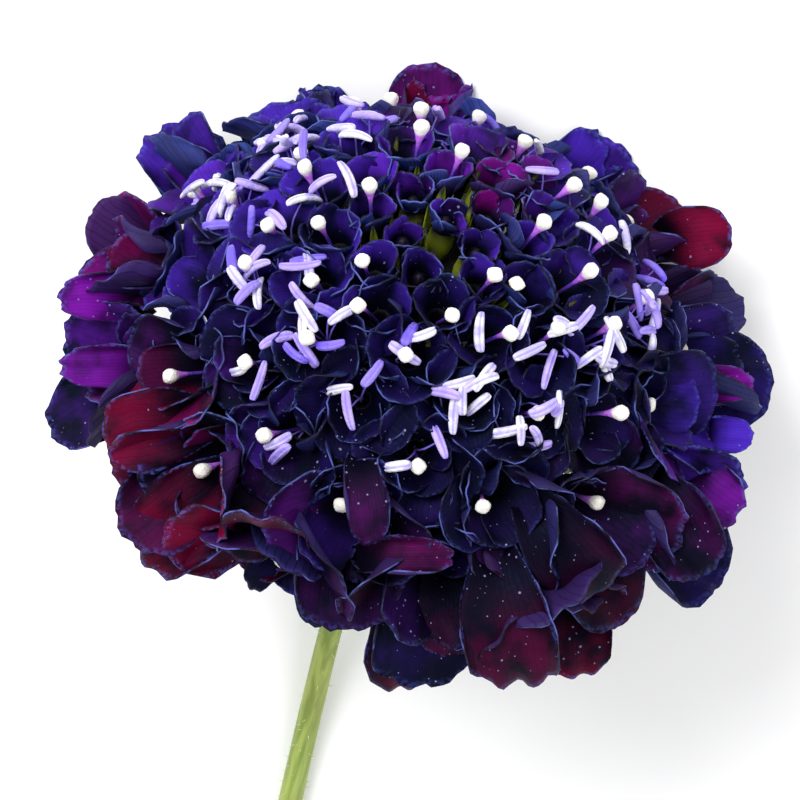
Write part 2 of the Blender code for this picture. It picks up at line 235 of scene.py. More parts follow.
def floret_places():
    """Walks outward over the dome, giving each floret its number, age, turn and frame."""
    places = []
    angle_down = FIRST_TILT
    for number in range(FLORETS):
        age = number / (FLORETS - 1)
        round_angle = FIRST_TURN + number * GOLDEN_ANGLE
        across = DOME_RADIUS * math.sin(angle_down)
        mouth = Vector((
            across * math.cos(round_angle),
            across * math.sin(round_angle),
            DOME_HEIGHT * math.cos(angle_down),
        ))
        steep = (DOME_RADIUS / DOME_HEIGHT) ** 2
        facing = Vector((mouth.x, mouth.y, mouth.z * steep)).normalized()
        outward = Vector((math.cos(round_angle), math.sin(round_angle), 0.0))
        outward = (outward - facing * outward.dot(facing)).normalized()
        axes = Matrix((outward, facing.cross(outward), facing)).transposed().to_4x4()
        places.append({
            "number": number,
            "age": age,
            "round": round_angle,
            "matrix": HEAD @ Matrix.Translation(mouth) @ axes,
        })
        spacing = between(MIDDLE_SPACING, RIM_SPACING, eased(age, *SPACING_AGES))
        slope = math.hypot(DOME_RADIUS * math.cos(angle_down), DOME_HEIGHT * math.sin(angle_down))
        angle_down += spacing**2 / (2 * math.pi * across * slope)
    return places


places = floret_places()
print(len(places), "florets, the last", round(places[-1]["matrix"].translation.z / MM, 1), "mm up")

# %% [markdown]
# Each piece is gathered in one bmesh, floret by floret, and becomes an object when it is full. An object
# sits at the origin with its place in its mesh. The same helper puts a piece on the root body, gives it
# its material slots, and hides the solid that it stands for.

# %% Turning gathered geometry into a declared piece
SHARP = math.radians(50.0)


def finish_piece(gathered, name, materials, node, thickness=0.0):
    mesh = bpy.data.meshes.new(name)
    gathered.to_mesh(mesh)
    gathered.free()
    piece = bpy.data.objects.new(name, mesh)
    bpy.context.scene.collection.objects.link(piece)
    for material in materials:
        mesh.materials.append(material)
    mesh.shade_smooth()
    if thickness:
        wall = piece.modifiers.new("thickness", "SOLIDIFY")
        wall.thickness = thickness
        wall.offset = 0.0
        wall.use_even_offset = False
        wall.material_offset = min(1, len(materials) - 1)
        wall.material_offset_rim = min(2, len(materials) - 1)
    else:
        mesh.set_sharp_from_angle(angle=SHARP)
    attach(piece, "root")
    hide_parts(node)
    print(name, "has", len(mesh.polygons), "faces")
    return piece


# %% [markdown]
# Materials are easier to read as formulas than as wires. A Signal wraps one output socket, and arithmetic
# on it adds Math nodes. A Finish is one material: its node method adds any other node. It takes the
# node's settings first, and then what goes into its sockets.

# %% Shader maths as Python expressions
def put(socket, value):
    """Links a Signal to a socket, or sets a plain value on it."""
    if isinstance(value, Signal):
        socket.id_data.links.new(value.socket, socket)
    else:
        socket.default_value = value


class Signal:
    """One output socket of a finish's node tree, with Python's operators on it."""

    def __init__(self, finish, socket):
        self.finish = finish
        self.socket = socket

    def math(self, operation, *others):
        """A Math node that takes this signal first, and then the others."""
        inputs = dict(enumerate((self, *others)))
        return self.finish.node("Math", {"operation": operation}, inputs)

    def __add__(self, other):
        return self.math("ADD", other)

    def __sub__(self, other):
        return self.math("SUBTRACT", other)

    def __rsub__(self, other):
        return self * -1.0 + other

    def __mul__(self, other):
        return self.math("MULTIPLY", other)

    __radd__ = __add__
    __rmul__ = __mul__

    def between(self, low, high):
        """0 where the signal is below low, 1 above high, smooth between."""
        inputs = {"Value": self, "From Min": low, "From Max": high}
        return self.finish.node("MapRange", {"interpolation_type": "SMOOTHSTEP"}, inputs)


class Finish:
    """A material's node tree, to which one method adds any node."""

    def __init__(self, name):
        self.material = bpy.data.materials.new(name)
        self.material.use_nodes = True
        self.tree = self.material.node_tree
        self.tree.nodes.clear()

    def node(self, kind, settings=None, inputs=None, output=0):
        """Adds a node of a kind, with its settings and what goes into its sockets."""
        made = self.tree.nodes.new("ShaderNode" + kind)
        for setting, value in (settings or {}).items():
            setattr(made, setting, value)
        for socket, value in (inputs or {}).items():
            put(made.inputs[socket], value)
        return Signal(self, made.outputs[output]) if made.outputs else None

    def mix(self, share, low, high):
        """A colour that goes from low to high."""
        return self.node("Mix", {"data_type": "RGBA"}, {0: share, 6: low, 7: high}, output=2)

    def attribute(self, name):
        """A number stored on the mesh's points."""
        return self.node("Attribute", {"attribute_name": name}, output="Fac")

    def place(self):
        """Where a point is on the object, in metres."""
        return self.node("TexCoord", output="Object")

    def noise(self, per_metre, detail=3.0, place=None):
        """Soft irregular patches, so many to the metre."""
        where = place or self.place()
        return self.node("TexNoise", inputs={"Vector": where, "Scale": per_metre, "Detail": detail})

    def bump(self, height, distance, strength=1.0):
        """A normal that is tilted by a height map."""
        return self.node("Bump", inputs={"Height": height, "Distance": distance, "Strength": strength})

    def surface(self, inputs, see_through=None, glow=None):
        """The Principled surface, with light of one colour passing through where a sheet is thin."""
        shader = self.node("BsdfPrincipled", inputs=inputs)
        if see_through is not None:
            through = self.node("BsdfTranslucent", inputs={"Color": glow})
            shader = self.node("MixShader", inputs={0: see_through, 1: shader, 2: through})
        self.node("OutputMaterial", inputs={"Surface": shader})
        return self.material


def rgb(red, green, blue):
    """A colour given as it is seen on screen, from 0 to 255, as the linear light that shaders use."""
    return (*((part / 255) ** 2.2 for part in (red, green, blue)), 1.0)


print("black-purple petal is", [round(part, 4) for part in rgb(30, 5, 35)])

# %% [markdown]
# The petals' velvet is what makes this flower. Looked at straight on a petal is nearly black. Its tip
# is painted lit in wine red or violet, as painted light where light would fall on it and come through it,
# its margin carries a thin bluish painted highlight line, fine veins fan out along it, and pale pollen is
# dusted over it. All of that follows the petal, so the mesh stores how far along and across its own petal
# each point is, how warm its hue is, and how much painted light it glows with.

# %% Pollen and veins
GRAINS_PER_METRE = 1900.0
GRAIN_SIZE = 0.21
GRAIN_EDGE = 0.03
DRIFTS_PER_METRE = 110.0
BETWEEN_DRIFTS = 0.4


def pollen(finish):
    """Where a grain of pollen lies: scattered dots of mixed sizes, thicker in drifts."""
    cells = {"Vector": finish.place(), "Scale": GRAINS_PER_METRE}
    near = finish.node("TexVoronoi", inputs=cells)
    tint = finish.node("TexVoronoi", inputs=cells, output=1)
    chance = finish.node("SeparateColor", inputs={"Color": tint})
    drifts = finish.noise(DRIFTS_PER_METRE, detail=1.0).between(0.35, 0.7)
    size = chance * chance * GRAIN_SIZE * (BETWEEN_DRIFTS + drifts)
    return (size - near).between(0.0, GRAIN_EDGE)


def vein_gaps(finish, patches, number, sway, width):
    """0 on the veins that fan out along a petal, and 1 between them."""
    fan = finish.attribute("across") * number + patches * sway
    return (fan * math.pi).math("SINE").math("ABSOLUTE").between(0.0, width)


largest = 2 * GRAIN_SIZE * (BETWEEN_DRIFTS + 1) / GRAINS_PER_METRE
print("a pollen grain is at most", round(largest / MM, 2), "mm across")

# %% [markdown]
# The face, the back and the cut edge of a petal are three finishes. The face mixes two nearly black
# colours with bright ones, which are painted light: they are laid on where light falls on a lobe and
# comes through it. Plain black would be simpler, but the hues of the tips would be lost. One sheet can
# show all three, because the modifier that gives it its thickness also chooses a material for its far
# side and for its rim.

# %% The petal's velvet face
PATCHES_PER_METRE = 260.0
FUZZ_PER_METRE = 2600.0
NIGHT_BLUE = rgb(5, 8, 20)
NIGHT_WINE = rgb(16, 3, 16)
# The LIT colours are painted light, laid where light falls on a lobe and comes through it; the NIGHT
# colours are the petal's own.
PAINTED_LIT_VIOLET = rgb(84, 48, 204)
PAINTED_LIT_CRIMSON = rgb(126, 0, 52)
PAINTED_LIT_PINK = rgb(150, 0, 190)
# The margin colour is a painted highlight: a thin bluish line along each lobe's edge.
MARGIN_HIGHLIGHT_BLUE = rgb(84, 98, 190)
POLLEN_GREY = rgb(150, 146, 196)
LIGHT_THROUGH = rgb(120, 8, 96)
# How far out the painted margin highlight lies, as a share of the lobe's half-width and length.
MARGIN = (0.93, 0.99)


def velvet_petal():
    """The petal's face: black velvet with a painted lit middle, veins, a thin painted highlight line at
    the margin and pollen.
    """
    finish = Finish("velvet_petal")
    along = finish.attribute("along")
    across = finish.attribute("across").math("ABSOLUTE")
    warm = finish.attribute("warm")
    glow = finish.attribute("glow")
    patches = finish.noise(PATCHES_PER_METRE)
    fine = finish.noise(FUZZ_PER_METRE, detail=2.0)
    gaps = vein_gaps(finish, patches, number=7.0, sway=3.0, width=0.4)
    # Painted light: a lobe is painted lit on its outer half, in patches, less on its veins and least at
    # its margins.
    spread = along.between(0.2, 0.8) * (patches + glow * 0.12).between(0.35, 0.7)
    painted_lit = glow * spread * (0.75 + gaps * 0.25) * (1.0 - across.between(0.55, 0.95) * 0.6)

    night = finish.mix(warm, NIGHT_BLUE, NIGHT_WINE)
    painted_lit_colour = finish.mix(warm.between(0.15, 0.85), PAINTED_LIT_VIOLET, PAINTED_LIT_CRIMSON)
    painted_lit_colour = finish.mix(finish.attribute("pink"), painted_lit_colour, PAINTED_LIT_PINK)
    petal = finish.mix(painted_lit, night, painted_lit_colour)
    # Painted highlight: a thin bluish line along the margin, stronger where the lobe has more painted
    # light.
    margin_highlight = across.math("MAXIMUM", along).between(*MARGIN) * fine.between(0.4, 0.65)
    petal = finish.mix(margin_highlight * (0.14 + glow * 0.5), petal, MARGIN_HIGHLIGHT_BLUE)
    grains = pollen(finish)
    petal = finish.mix(grains * 0.6, petal, POLLEN_GREY)
    return finish.surface(
        {
            "Base Color": petal,
            "Roughness": 0.5 + fine * 0.25,
            "Normal": finish.bump(fine * 0.7 + gaps * 0.35 + grains * 1.5, 0.08 * MM, 0.6),
            "Specular IOR Level": 0.16,
            "Specular Tint": rgb(150, 172, 255),
            "Sheen Weight": 0.03,
            "Sheen Roughness": 0.3,
            "Sheen Tint": rgb(130, 120, 255),
        },
        see_through=painted_lit * 0.22 + 0.01,
        glow=LIGHT_THROUGH,
    )


petal_face = velvet_petal()
print(petal_face.name, "has", len(petal_face.node_tree.nodes), "nodes")


# %% The petal's back and its cut edge
def petal_back():
    """The petal's back: duller and bluer than its face, with raised veins and a bloom of fine hairs, and
    painted paler where the lobe has painted light.
    """
    finish = Finish("petal_back")
    along = finish.attribute("along")
    glow = finish.attribute("glow")
    warm = finish.attribute("warm")
    patches = finish.noise(240.0)
    fine = finish.noise(2400.0, detail=2.0)
    gaps = vein_gaps(finish, patches, number=6.0, sway=2.0, width=0.5)
    deep = finish.mix(warm, rgb(16, 18, 54), rgb(36, 8, 40))
    pale = finish.mix(warm, rgb(54, 74, 160), rgb(70, 20, 96))
    # The back pales towards its tip and in patches between its veins, its own colour, and more where the
    # lobe's glow is, which is painted light.
    share = along.between(0.2, 1.0) * (0.25 + glow * 0.6) * (0.5 + patches * 0.6) * (0.6 + gaps * 0.4)
    return finish.surface({
        "Base Color": finish.mix(share, deep, pale),
        "Roughness": 0.5 + fine * 0.3,
        "Normal": finish.bump(fine * 0.6 - gaps * 0.8, 0.1 * MM, 0.6),
        "Specular IOR Level": 0.2,
    })


def petal_rim():
    """The cut edge of a petal, painted with broken bluish highlight lines where it would catch the light.
    """
    finish = Finish("petal_rim")
    glint_noise = finish.noise(330.0)
    return finish.surface({
        # Painted highlight: bright bluish stretches along the cut edge, dark between them.
        "Base Color": finish.mix(glint_noise.between(0.47, 0.63), rgb(10, 10, 28), rgb(82, 92, 162)),
        "Roughness": 0.4 + glint_noise * 0.3,
        "Specular IOR Level": 0.2,
    })


petal_skins = (petal_face, petal_back(), petal_rim())
print([skin.name for skin in petal_skins])

# %% [markdown]
# A floret is a narrow tube that opens into five lobes, short on the side of the head's middle and long
# on the outer side. The outermost florets have ray lobes several times longer. Each lobe could be a flat
# leaf bent by a modifier, but a formula gives more: the lobe leaves the throat steeply, arcs outward
# along part of a circle, wraps the tube at its base, and flattens, cups or twists towards its tip.

# %% The shape of one lobe
BUD_AGE = 0.08
RAY_AGE = 0.83
RAY_AGES = (RAY_AGE - 0.2, RAY_AGE + 0.06)
GROWTH_AGES = (0.0, 0.7)
OPENING_AGES = (0.0, 0.6)
YOUNG_AGES = (-0.06, 0.16)
YOUNG_SIZE = 0.6
LOBES = 5
LOBE_TURN = 2 * math.pi / LOBES
INNER_LOBE = (3.4 * MM, 4.8 * MM)
OUTER_LOBE = (3.6 * MM, 6.2 * MM)
INNER_EXTRA = 1.5 * MM
RAY_EXTRA = 6.6 * MM
LOPSIDED = 1.6 * MM
LONG_SIDE = math.radians(-50.0)
OUTER_SIDE = (-0.55, 0.7)
FLARED_SIDE = (-0.55, 0.5)
THROAT_FLARE = math.radians(20.0)
OPENING = (math.radians(15.0), math.radians(56.0))
RAY_FLARE = math.radians(14.0)
INNER_RAY_FLARE = math.radians(40.0)
RAY_SWING = math.radians(22.0)
FLARE_SCATTER = math.radians(16.0)
LOBE_SPIN = math.radians(14.0)


def lobe_length(place, turn):
    """How far a lobe reaches at this turn from its floret's outward side."""
    ray = eased(place["age"], *RAY_AGES)
    grown = eased(place["age"], *GROWTH_AGES)
    extra = RAY_EXTRA + LOPSIDED * math.cos(place["round"] - LONG_SIDE)
    inner = between(*INNER_LOBE, grown) + INNER_EXTRA * ray
    outer = between(*OUTER_LOBE, grown) + extra * ray
    young = eased(place["age"], *YOUNG_AGES)
    return between(inner, outer, eased(math.cos(turn), *OUTER_SIDE)) * between(YOUNG_SIZE, 1.0, young)


def lobe_flare(place, turn):
    """The angle from the floret's axis to a lobe's tip."""
    ray = eased(place["age"], *RAY_AGES)
    scatter = FLARE_SCATTER * (drawn(place["number"], 1) - 0.5)
    droop = RAY_FLARE - RAY_SWING * math.sin(place["round"]) + scatter
    opening = between(*OPENING, eased(place["age"], *OPENING_AGES))
    outer = between(opening, droop, ray)
    inner = between(opening, INNER_RAY_FLARE, ray)
    return between(inner, outer, eased(math.cos(turn), *FLARED_SIDE))


ray = places[-1]
print("a ray's outer lobe is", round(lobe_length(ray, 0.0) / MM, 1), "mm long")

# %% [markdown]
# The flower lies on its lower petals, and no lobe may pass through the surface. A lobe that would is bent
# forward along it instead. Lobes that meet there lie on thin layers, one above the other, because petals
# at one height would run through each other. Above the surface a lobe follows part of a circle.

# %% Where a lobe rests, and the arc it follows
LAYER = 0.1 * MM
LAYERS = 5
FIRST_LAYER = 1.2
SLIDE = 0.55
STRAIGHTEST = 1.0


def settled(point, layer):
    """A point, bent forward along the surface where it would reach below its layer on it."""
    depth = max(LAYER * (FIRST_LAYER + layer % LAYERS) - point.z, 0.0)
    return point + Vector((0, SLIDE * depth, depth))


def arc_point(start, end, length, reach):
    """Where a strip that turns steadily from start to end has got to: out, up and its angle."""
    rate = (end - start) / length
    if abs(rate) < STRAIGHTEST:
        rate = STRAIGHTEST
    angle = start + rate * reach
    out = (math.cos(start) - math.cos(angle)) / rate
    return out, (math.sin(angle) - math.sin(start)) / rate, angle


print("a lobe rests on one of", LAYERS, "layers where it reaches the surface")

# %% [markdown]
# The colours of the petals change over the head in broad zones. Each zone is a soft round spot in the
# photograph's view. A lobe asks the spots where its tip is seen, and keeps what they answer: how warm its
# hue is, how much painted light it glows with where light falls on it and comes through it, and how pink
# it is.

# %% Zones of colour
# warm and pink are the petals' own hues; glow is painted light, where light falls on a lobe and comes
# through it.
HUES_AND_LIGHT = ("warm", "glow", "pink")


def seen_at(point):
    """Where a point is in the photograph's view, in mm right of the head's middle and above it."""
    offset = camera.matrix_world.to_3x3().inverted() @ (point - RIM_CENTRE)
    return offset.x / MM, offset.y / MM


def near_spots(seen, spots):
    """How strongly soft round spots, each (right, above, radius, strength), cover a place."""
    cover = [
        strength * math.exp(-((seen[0] - right) ** 2 + (seen[1] - above) ** 2) / radius**2)
        for right, above, radius, strength in spots
    ]
    return min(1.0, max(cover))


WARM_SPOTS = (
    (-22, -5, 8, 0.9), (-17, -15, 8, 0.9), (8, -23, 7, 0.7), (17, -24, 6, 0.9), (-2, -19, 6, 0.7),
    (27, 11, 7, 1.0), (-27, 9, 5, 0.9), (0, 25, 4, 0.9), (9, 16, 4, 0.7), (20, -13, 8, 0.6),
)
# Spots of painted light: where the lobes are painted lit, as light falls on them and comes through them.
PAINTED_LIGHT_SPOTS = (
    (-21, -6, 8, 0.8), (-17, -15, 8, 0.8), (8, -23, 6, 0.2), (17, -25, 5, 0.5), (27, 11, 7, 1.0),
    (-28, 4, 6, 1.0), (-14, 19, 11, 0.9), (2, 19, 11, 1.15), (14, 16, 10, 0.8), (26, -10, 7, 0.6),
    (-24, 12, 8, 0.9), (-4, -14, 4, 0.3), (-4, 10, 5, 0.7),
)
PINK_SPOTS = ((-29, 5, 5, 0.9), (-29, -1, 4, 0.7), (3, 17, 5, 0.7), (-21, 15, 5, 0.5), (9, 16, 3, 0.9))

print(len(WARM_SPOTS + PAINTED_LIGHT_SPOTS + PINK_SPOTS), "spots of colour")

# %% [markdown]
# A lobe starts as a flat grid with its base at one end. Each point is moved in turn by what a real petal
# does: it widens, ends in a round tip with fine teeth, rolls up at its margins, cups, ruffles, twists and
# leans. How far along and across each point was is stored on it first, for the velvet to read.

# %% Bending a flat grid into a lobe
THROAT_RADIUS = 0.85 * MM
BASE_WIDTH = THROAT_RADIUS * 0.7
TIP_START = 0.56
TIP_ROUNDNESS = 2.4
WIDENING = (-0.3, TIP_START)
NOTCH = (0.006, 0.018)
TIP_TEETH = (11, 23)
SIDE_TEETH = (13, 29)
FINER_TEETH = 0.6
ROLL_START = 0.6
ROLLING = (0.15, 0.6)
NO_ROLL = 0.01
CUPPING = (0.0, 0.6)
TWISTING = (0.15, 1.0)
SKEW = 0.09
WAVES = (0.9, 1.9)
TIP_WAVES = 3
RUFFLE = (0.02, 0.055)
RUFFLED_EDGE = 1.6


def teeth(reach, counts, coarse, fine):
    """Two waves of small teeth along a margin, the second one finer and lower."""
    return math.sin(counts[0] * reach + coarse) + FINER_TEETH * math.sin(counts[1] * reach + fine)


def rolled(across, spread, roll):
    """The side and lift of a point where a lobe's margin rolls up past ROLL_START by an angle."""
    past = max(abs(across) - ROLL_START, 0.0) / (1 - ROLL_START)
    strip = spread * (1 - ROLL_START) * past
    turned = roll * past
    if turned < NO_ROLL:
        return across * spread, 0.0
    side = ROLL_START * spread + strip * math.sin(turned) / turned
    return math.copysign(side, across), strip * (1 - math.cos(turned)) / turned


def bend_lobe(shell, frame, shape, chance, layer, columns, rows):
    """Adds a flat grid to a shell of petals, bent into a lobe that grows along the frame's +X."""
    length = shape["length"]
    notch = chance.uniform(*NOTCH)
    skew = chance.uniform(-SKEW, SKEW)
    waves = 2 * math.pi * chance.uniform(*WAVES)
    phases = [chance.uniform(0, 2 * math.pi) for _ in range(6)]
    ruffle = length * chance.uniform(*RUFFLE)
    grid = bmesh.ops.create_grid(shell["mesh"], x_segments=columns, y_segments=rows, size=1.0)
    for vertex in grid["verts"]:
        across = -vertex.co.x
        along = (vertex.co.y + 1) / 2
        tip = TIP_START + (1 - TIP_START) * (1 - abs(across) ** TIP_ROUNDNESS) ** 0.5
        tip_teeth = teeth(across, TIP_TEETH, phases[0], phases[4])
        reach = length * along * tip * (1 + notch * along**4 * tip_teeth)
        out, up, angle = arc_point(shape["start"], shape["end"], length, reach)
        spread = between(BASE_WIDTH, shape["half_width"], eased(reach / length, *WIDENING))
        spread *= 1 + notch * teeth(along, SIDE_TEETH, phases[2], phases[5])
        side, lift = rolled(across, spread, shape["rolls"][across > 0] * eased(along, *ROLLING))
        bend = between(1 / (THROAT_RADIUS + out), shape["cup"], eased(along, *CUPPING))
        lift += bend * side**2 / 2
        edge = abs(across) ** RUFFLED_EDGE * along
        lift += ruffle * edge * math.sin(waves * along + phases[3] + math.copysign(1, across))
        lift += ruffle / 2 * along**3 * math.sin(TIP_WAVES * math.pi * across + phases[1])
        turned = shape["twist"] * eased(along, *TWISTING)
        side, lift = (
            side * math.cos(turned) - lift * math.sin(turned),
            side * math.sin(turned) + lift * math.cos(turned),
        )
        side += skew * length * along**2
        out += THROAT_RADIUS
        local = Vector((out - lift * math.cos(angle), side, up + lift * math.sin(angle)))
        vertex.co = settled(frame @ local, layer)
        vertex[shell["along"]] = along
        vertex[shell["across"]] = across
        for colour_key in HUES_AND_LIGHT:
            vertex[shell[colour_key]] = shape[colour_key]


def new_shell(*names):
    """An empty bmesh with a layer of numbers for each name."""
    mesh = bmesh.new()
    return {"mesh": mesh, **{name: mesh.verts.layers.float.new(name) for name in names}}


print("a lobe's margin starts to roll", round(100 * ROLL_START), "% of the way from its middle")

# %% [markdown]
# A lobe's sizes come from its age and its side of the floret. Chance then makes each one its own: a
# little longer or wider, cupped or bent back, now and then with a margin rolled right over or a twist.

# %% One lobe of a floret
RAY_WIDTH = 0.72
DISC_WIDTH = 1.1
RAY_CUP = (-60, 70)
DISC_CUP = (90, 190)
INNER_WHORL = {"length": 0.74, "flare": 0.6, "turn": LOBE_TURN / 2, "seed": 1000}
DISC_START = 0.55
END_SCATTER = (-0.15, 0.35)
LENGTH_SCATTER = (0.88, 1.02)
WIDTH_SCATTER = (0.9, 1.12)
TWIST = 0.35
ASKEW_TWIST = 0.9
ASKEW_SHARE = 0.12
ROLLED_OVER = (1.6, 3.0)
ROLLED_OVER_SHARE = 0.22
ROLLED_LITTLE = (0.1, 0.8)
STRAY_WARMTH = 0.25
# The least painted light a lobe gets, and how much its painted light scatters from lobe to lobe.
LEAST_PAINTED_LIGHT = 0.06
PAINTED_LIGHT_SCATTER = (0.35, 1.2)
PINK_SCATTER = (0.3, 1.0)


def draw_rolls(chance):
    """How far a lobe's two margins roll up: most a little, some right over."""
    return [
        chance.uniform(*(ROLLED_OVER if chance.random() < ROLLED_OVER_SHARE else ROLLED_LITTLE))
        for _ in range(2)
    ]


def add_lobe(shell, place, lobe, columns, rows, inner=False):
    """Adds one of a floret's lobes, with its size by age and side, and its form partly by chance."""
    chance = random.Random(place["number"] * LOBES + lobe + INNER_WHORL["seed"] * inner)
    turn = lobe * LOBE_TURN + inner * INNER_WHORL["turn"]
    ray = eased(place["age"], *RAY_AGES) * eased(math.cos(turn), *OUTER_SIDE)
    length = lobe_length(place, turn) * chance.uniform(*LENGTH_SCATTER)
    flare = lobe_flare(place, turn)
    if inner:
        length *= INNER_WHORL["length"]
        flare *= INNER_WHORL["flare"]
    start = min(THROAT_FLARE, flare)
    start = between(between(start, flare, DISC_START), start, ray)
    around = turn + LOBE_SPIN * (drawn(place["number"], 2) - 0.5)
    frame = place["matrix"] @ Matrix.Rotation(around, 4, "Z")
    seen = seen_at(frame @ Vector((length * math.sin(flare), 0, length * math.cos(flare))))
    askew = 0.0
    if chance.random() < ASKEW_SHARE * (1 - ray):
        askew = chance.choice((-ASKEW_TWIST, ASKEW_TWIST))
    width = length * between(DISC_WIDTH, RAY_WIDTH, ray)
    shape = {
        "length": length,
        "start": start,
        "end": 2 * flare - start + chance.uniform(*END_SCATTER),
        "half_width": width / 2 * chance.uniform(*WIDTH_SCATTER),
        "cup": between(chance.uniform(*DISC_CUP), chance.uniform(*RAY_CUP), ray),
        "twist": chance.uniform(-TWIST, TWIST) + askew,
        "rolls": draw_rolls(chance),
        "warm": near_spots(seen, WARM_SPOTS) + STRAY_WARMTH * chance.random() ** 2,
        # Painted light: how lit the lobe is painted, from the spots where light falls and comes through.
        "glow": between(LEAST_PAINTED_LIGHT, 1.0, near_spots(seen, PAINTED_LIGHT_SPOTS)) * chance.uniform(*PAINTED_LIGHT_SCATTER),
        "pink": near_spots(seen, PINK_SPOTS) * chance.uniform(*PINK_SCATTER),
    }
    bend_lobe(shell, frame, shape, chance, place["number"] * 7 + lobe * 3, columns, rows)


print("about one disc lobe in", round(1 / ASKEW_SHARE), "is twisted askew")

# %% [markdown]
# The lobes are gathered in six pieces. Four of them are rings of florets, from the rays at the rim to the
# small ones in the middle. The other two are a second, shorter whorl of lobes inside the florets of the
# outer rings, which is what makes the flower a double one. The rays are seen up close and get a fine
# grid. The middle ones are small and many, and get a coarse one.

# %% Rings of petals
PETAL_THICKNESS = 0.13 * MM
RAYS_FROM = RAY_AGE - 0.1
RIM = 1.01
RINGS = {
    "ray_petals": {"ages": (RAYS_FROM, RIM), "columns": 20, "rows": 18},
    "inner_ray_petals": {"ages": (RAYS_FROM, RIM), "columns": 14, "rows": 12, "inner": True},
    "outer_disc_petals": {"ages": (0.5, RAYS_FROM), "columns": 12, "rows": 10},
    "second_disc_petals": {"ages": (0.42, RAYS_FROM), "columns": 10, "rows": 9, "inner": True},
    "middle_disc_petals": {"ages": (0.22, 0.5), "columns": 11, "rows": 9},
    "inner_disc_petals": {"ages": (0.0, 0.22), "columns": 8, "rows": 8},
}


def add_petals(name, ages, columns, rows, inner=False):
    """One ring of florets' lobes as a single piece."""
    shell = new_shell("along", "across", *HUES_AND_LIGHT)
    for place in places:
        if ages[0] <= place["age"] < ages[1]:
            for lobe in range(LOBES):
                add_lobe(shell, place, lobe, columns, rows, inner)
    return finish_piece(shell["mesh"], name, petal_skins, "flower_head", PETAL_THICKNESS)


for name, ring in RINGS.items():
    add_petals(name, **ring)

# %% [markdown]
# A few lobes make this head recognisable, and chance would not put them where they are: the big round
# one at the bottom, the crimson ones at the lower left, and two narrow ones with rolled margins in front.
# Their ends were measured in the photograph, and the camera is used backwards: a place in the
# picture and a height above the surface give a point. Each of these lobes grows from its base to its tip.
# A row below gives the base and the tip in the picture, their heights and the lobe's width in mm, its
# hues and painted light (warm, glow and pink), and how far its margins roll up.

# %% Lobes measured in the photograph
LANDMARKS = (
    ((360, 448), (361, 548), (38.5, 43), 3.9, (0.6, 0.35, 0.0), (1.5, 1.2)),
    ((344, 557), (458, 564), (38.5, 42), 3.4, (0.7, 0.5, 0.1), (1.5, 1.3)),
    ((494, 545), (511, 694), (37, 38.5), 8.4, (0.75, 0.3, 0.0), (0.3, 1.3)),
    ((577, 588), (588, 676), (30, 32), 5.8, (1.0, 0.6, 0.0), (0.2, 0.4)),
    ((524, 496), (600, 600), (35.5, 36), 7.6, (0.7, 0.1, 0.0), (0.4, 1.7)),
    ((441, 556), (444, 660), (35, 37), 4.8, (0.7, 0.22, 0.0), (0.4, 0.6)),
    ((392, 580), (410, 692), (32.5, 32), 5.4, (1.0, 0.24, 0.0), (0.5, 0.5)),
    ((322, 530), (331, 628), (32, 36), 4.6, (0.1, 0.06, 0.0), (0.5, 0.8)),
    ((290, 520), (258, 592), (32, 34), 2.8, (0.2, 0.06, 0.0), (0.5, 0.5)),
    ((216, 420), (98, 428), (32, 34), 7.2, (1.0, 0.6, 0.0), (0.3, 0.5)),
    ((248, 466), (130, 556), (33, 35), 8.2, (1.0, 0.6, 0.0), (0.3, 0.3)),
    ((284, 468), (228, 558), (35, 37), 6.2, (0.85, 0.36, 0.0), (0.8, 0.5)),
    ((172, 368), (55, 372), (24, 28), 3.8, (0.5, 0.8, 0.45), (0.5, 0.7)),
    ((158, 300), (54, 300), (19, 25), 4.4, (0.5, 0.8, 0.5), (0.4, 0.8)),
    ((640, 470), (700, 586), (24, 30), 7.2, (0.6, 0.2, 0.0), (0.6, 1.2)),
    ((655, 240), (732, 226), (7, 10), 5.6, (1.0, 0.9, 0.0), (0.4, 0.5)),
    ((668, 392), (757, 390), (13, 17), 3.6, (0.6, 0.7, 0.4), (0.4, 0.9)),
    ((690, 432), (752, 440), (17, 20), 3.4, (0.0, 0.8, 0.0), (0.6, 1.4)),
    ((668, 470), (738, 520), (20, 24), 6.5, (0.5, 0.6, 0.4), (0.4, 0.6)),
    ((256, 398), (196, 414), (29, 32), 5.4, (0.6, 0.1, 0.0), (0.4, 0.6)),
    ((604, 440), (664, 454), (23, 27), 5.4, (0.4, 0.1, 0.0), (0.5, 0.6)),
)
LANDMARK_START = math.radians(38.0)
LANDMARK_GRID = 20
LANDMARK_CUP = (-40, 60)
LANDMARK_TWIST = 0.15
LANDMARK_SEED = 4000


def pictured(pixel, height):
    """The point that the photograph shows at a pixel, at a height above the surface."""
    right = (pixel[0] - PIXELS / 2) / PIXELS_PER_MM * MM
    above = (PIXELS / 2 - pixel[1]) / PIXELS_PER_MM * MM
    sight = camera.matrix_world.to_3x3() @ Vector((right, above, -VIEW_DISTANCE))
    eye = camera.matrix_world.translation
    return eye + sight * ((height - eye.z) / sight.z)


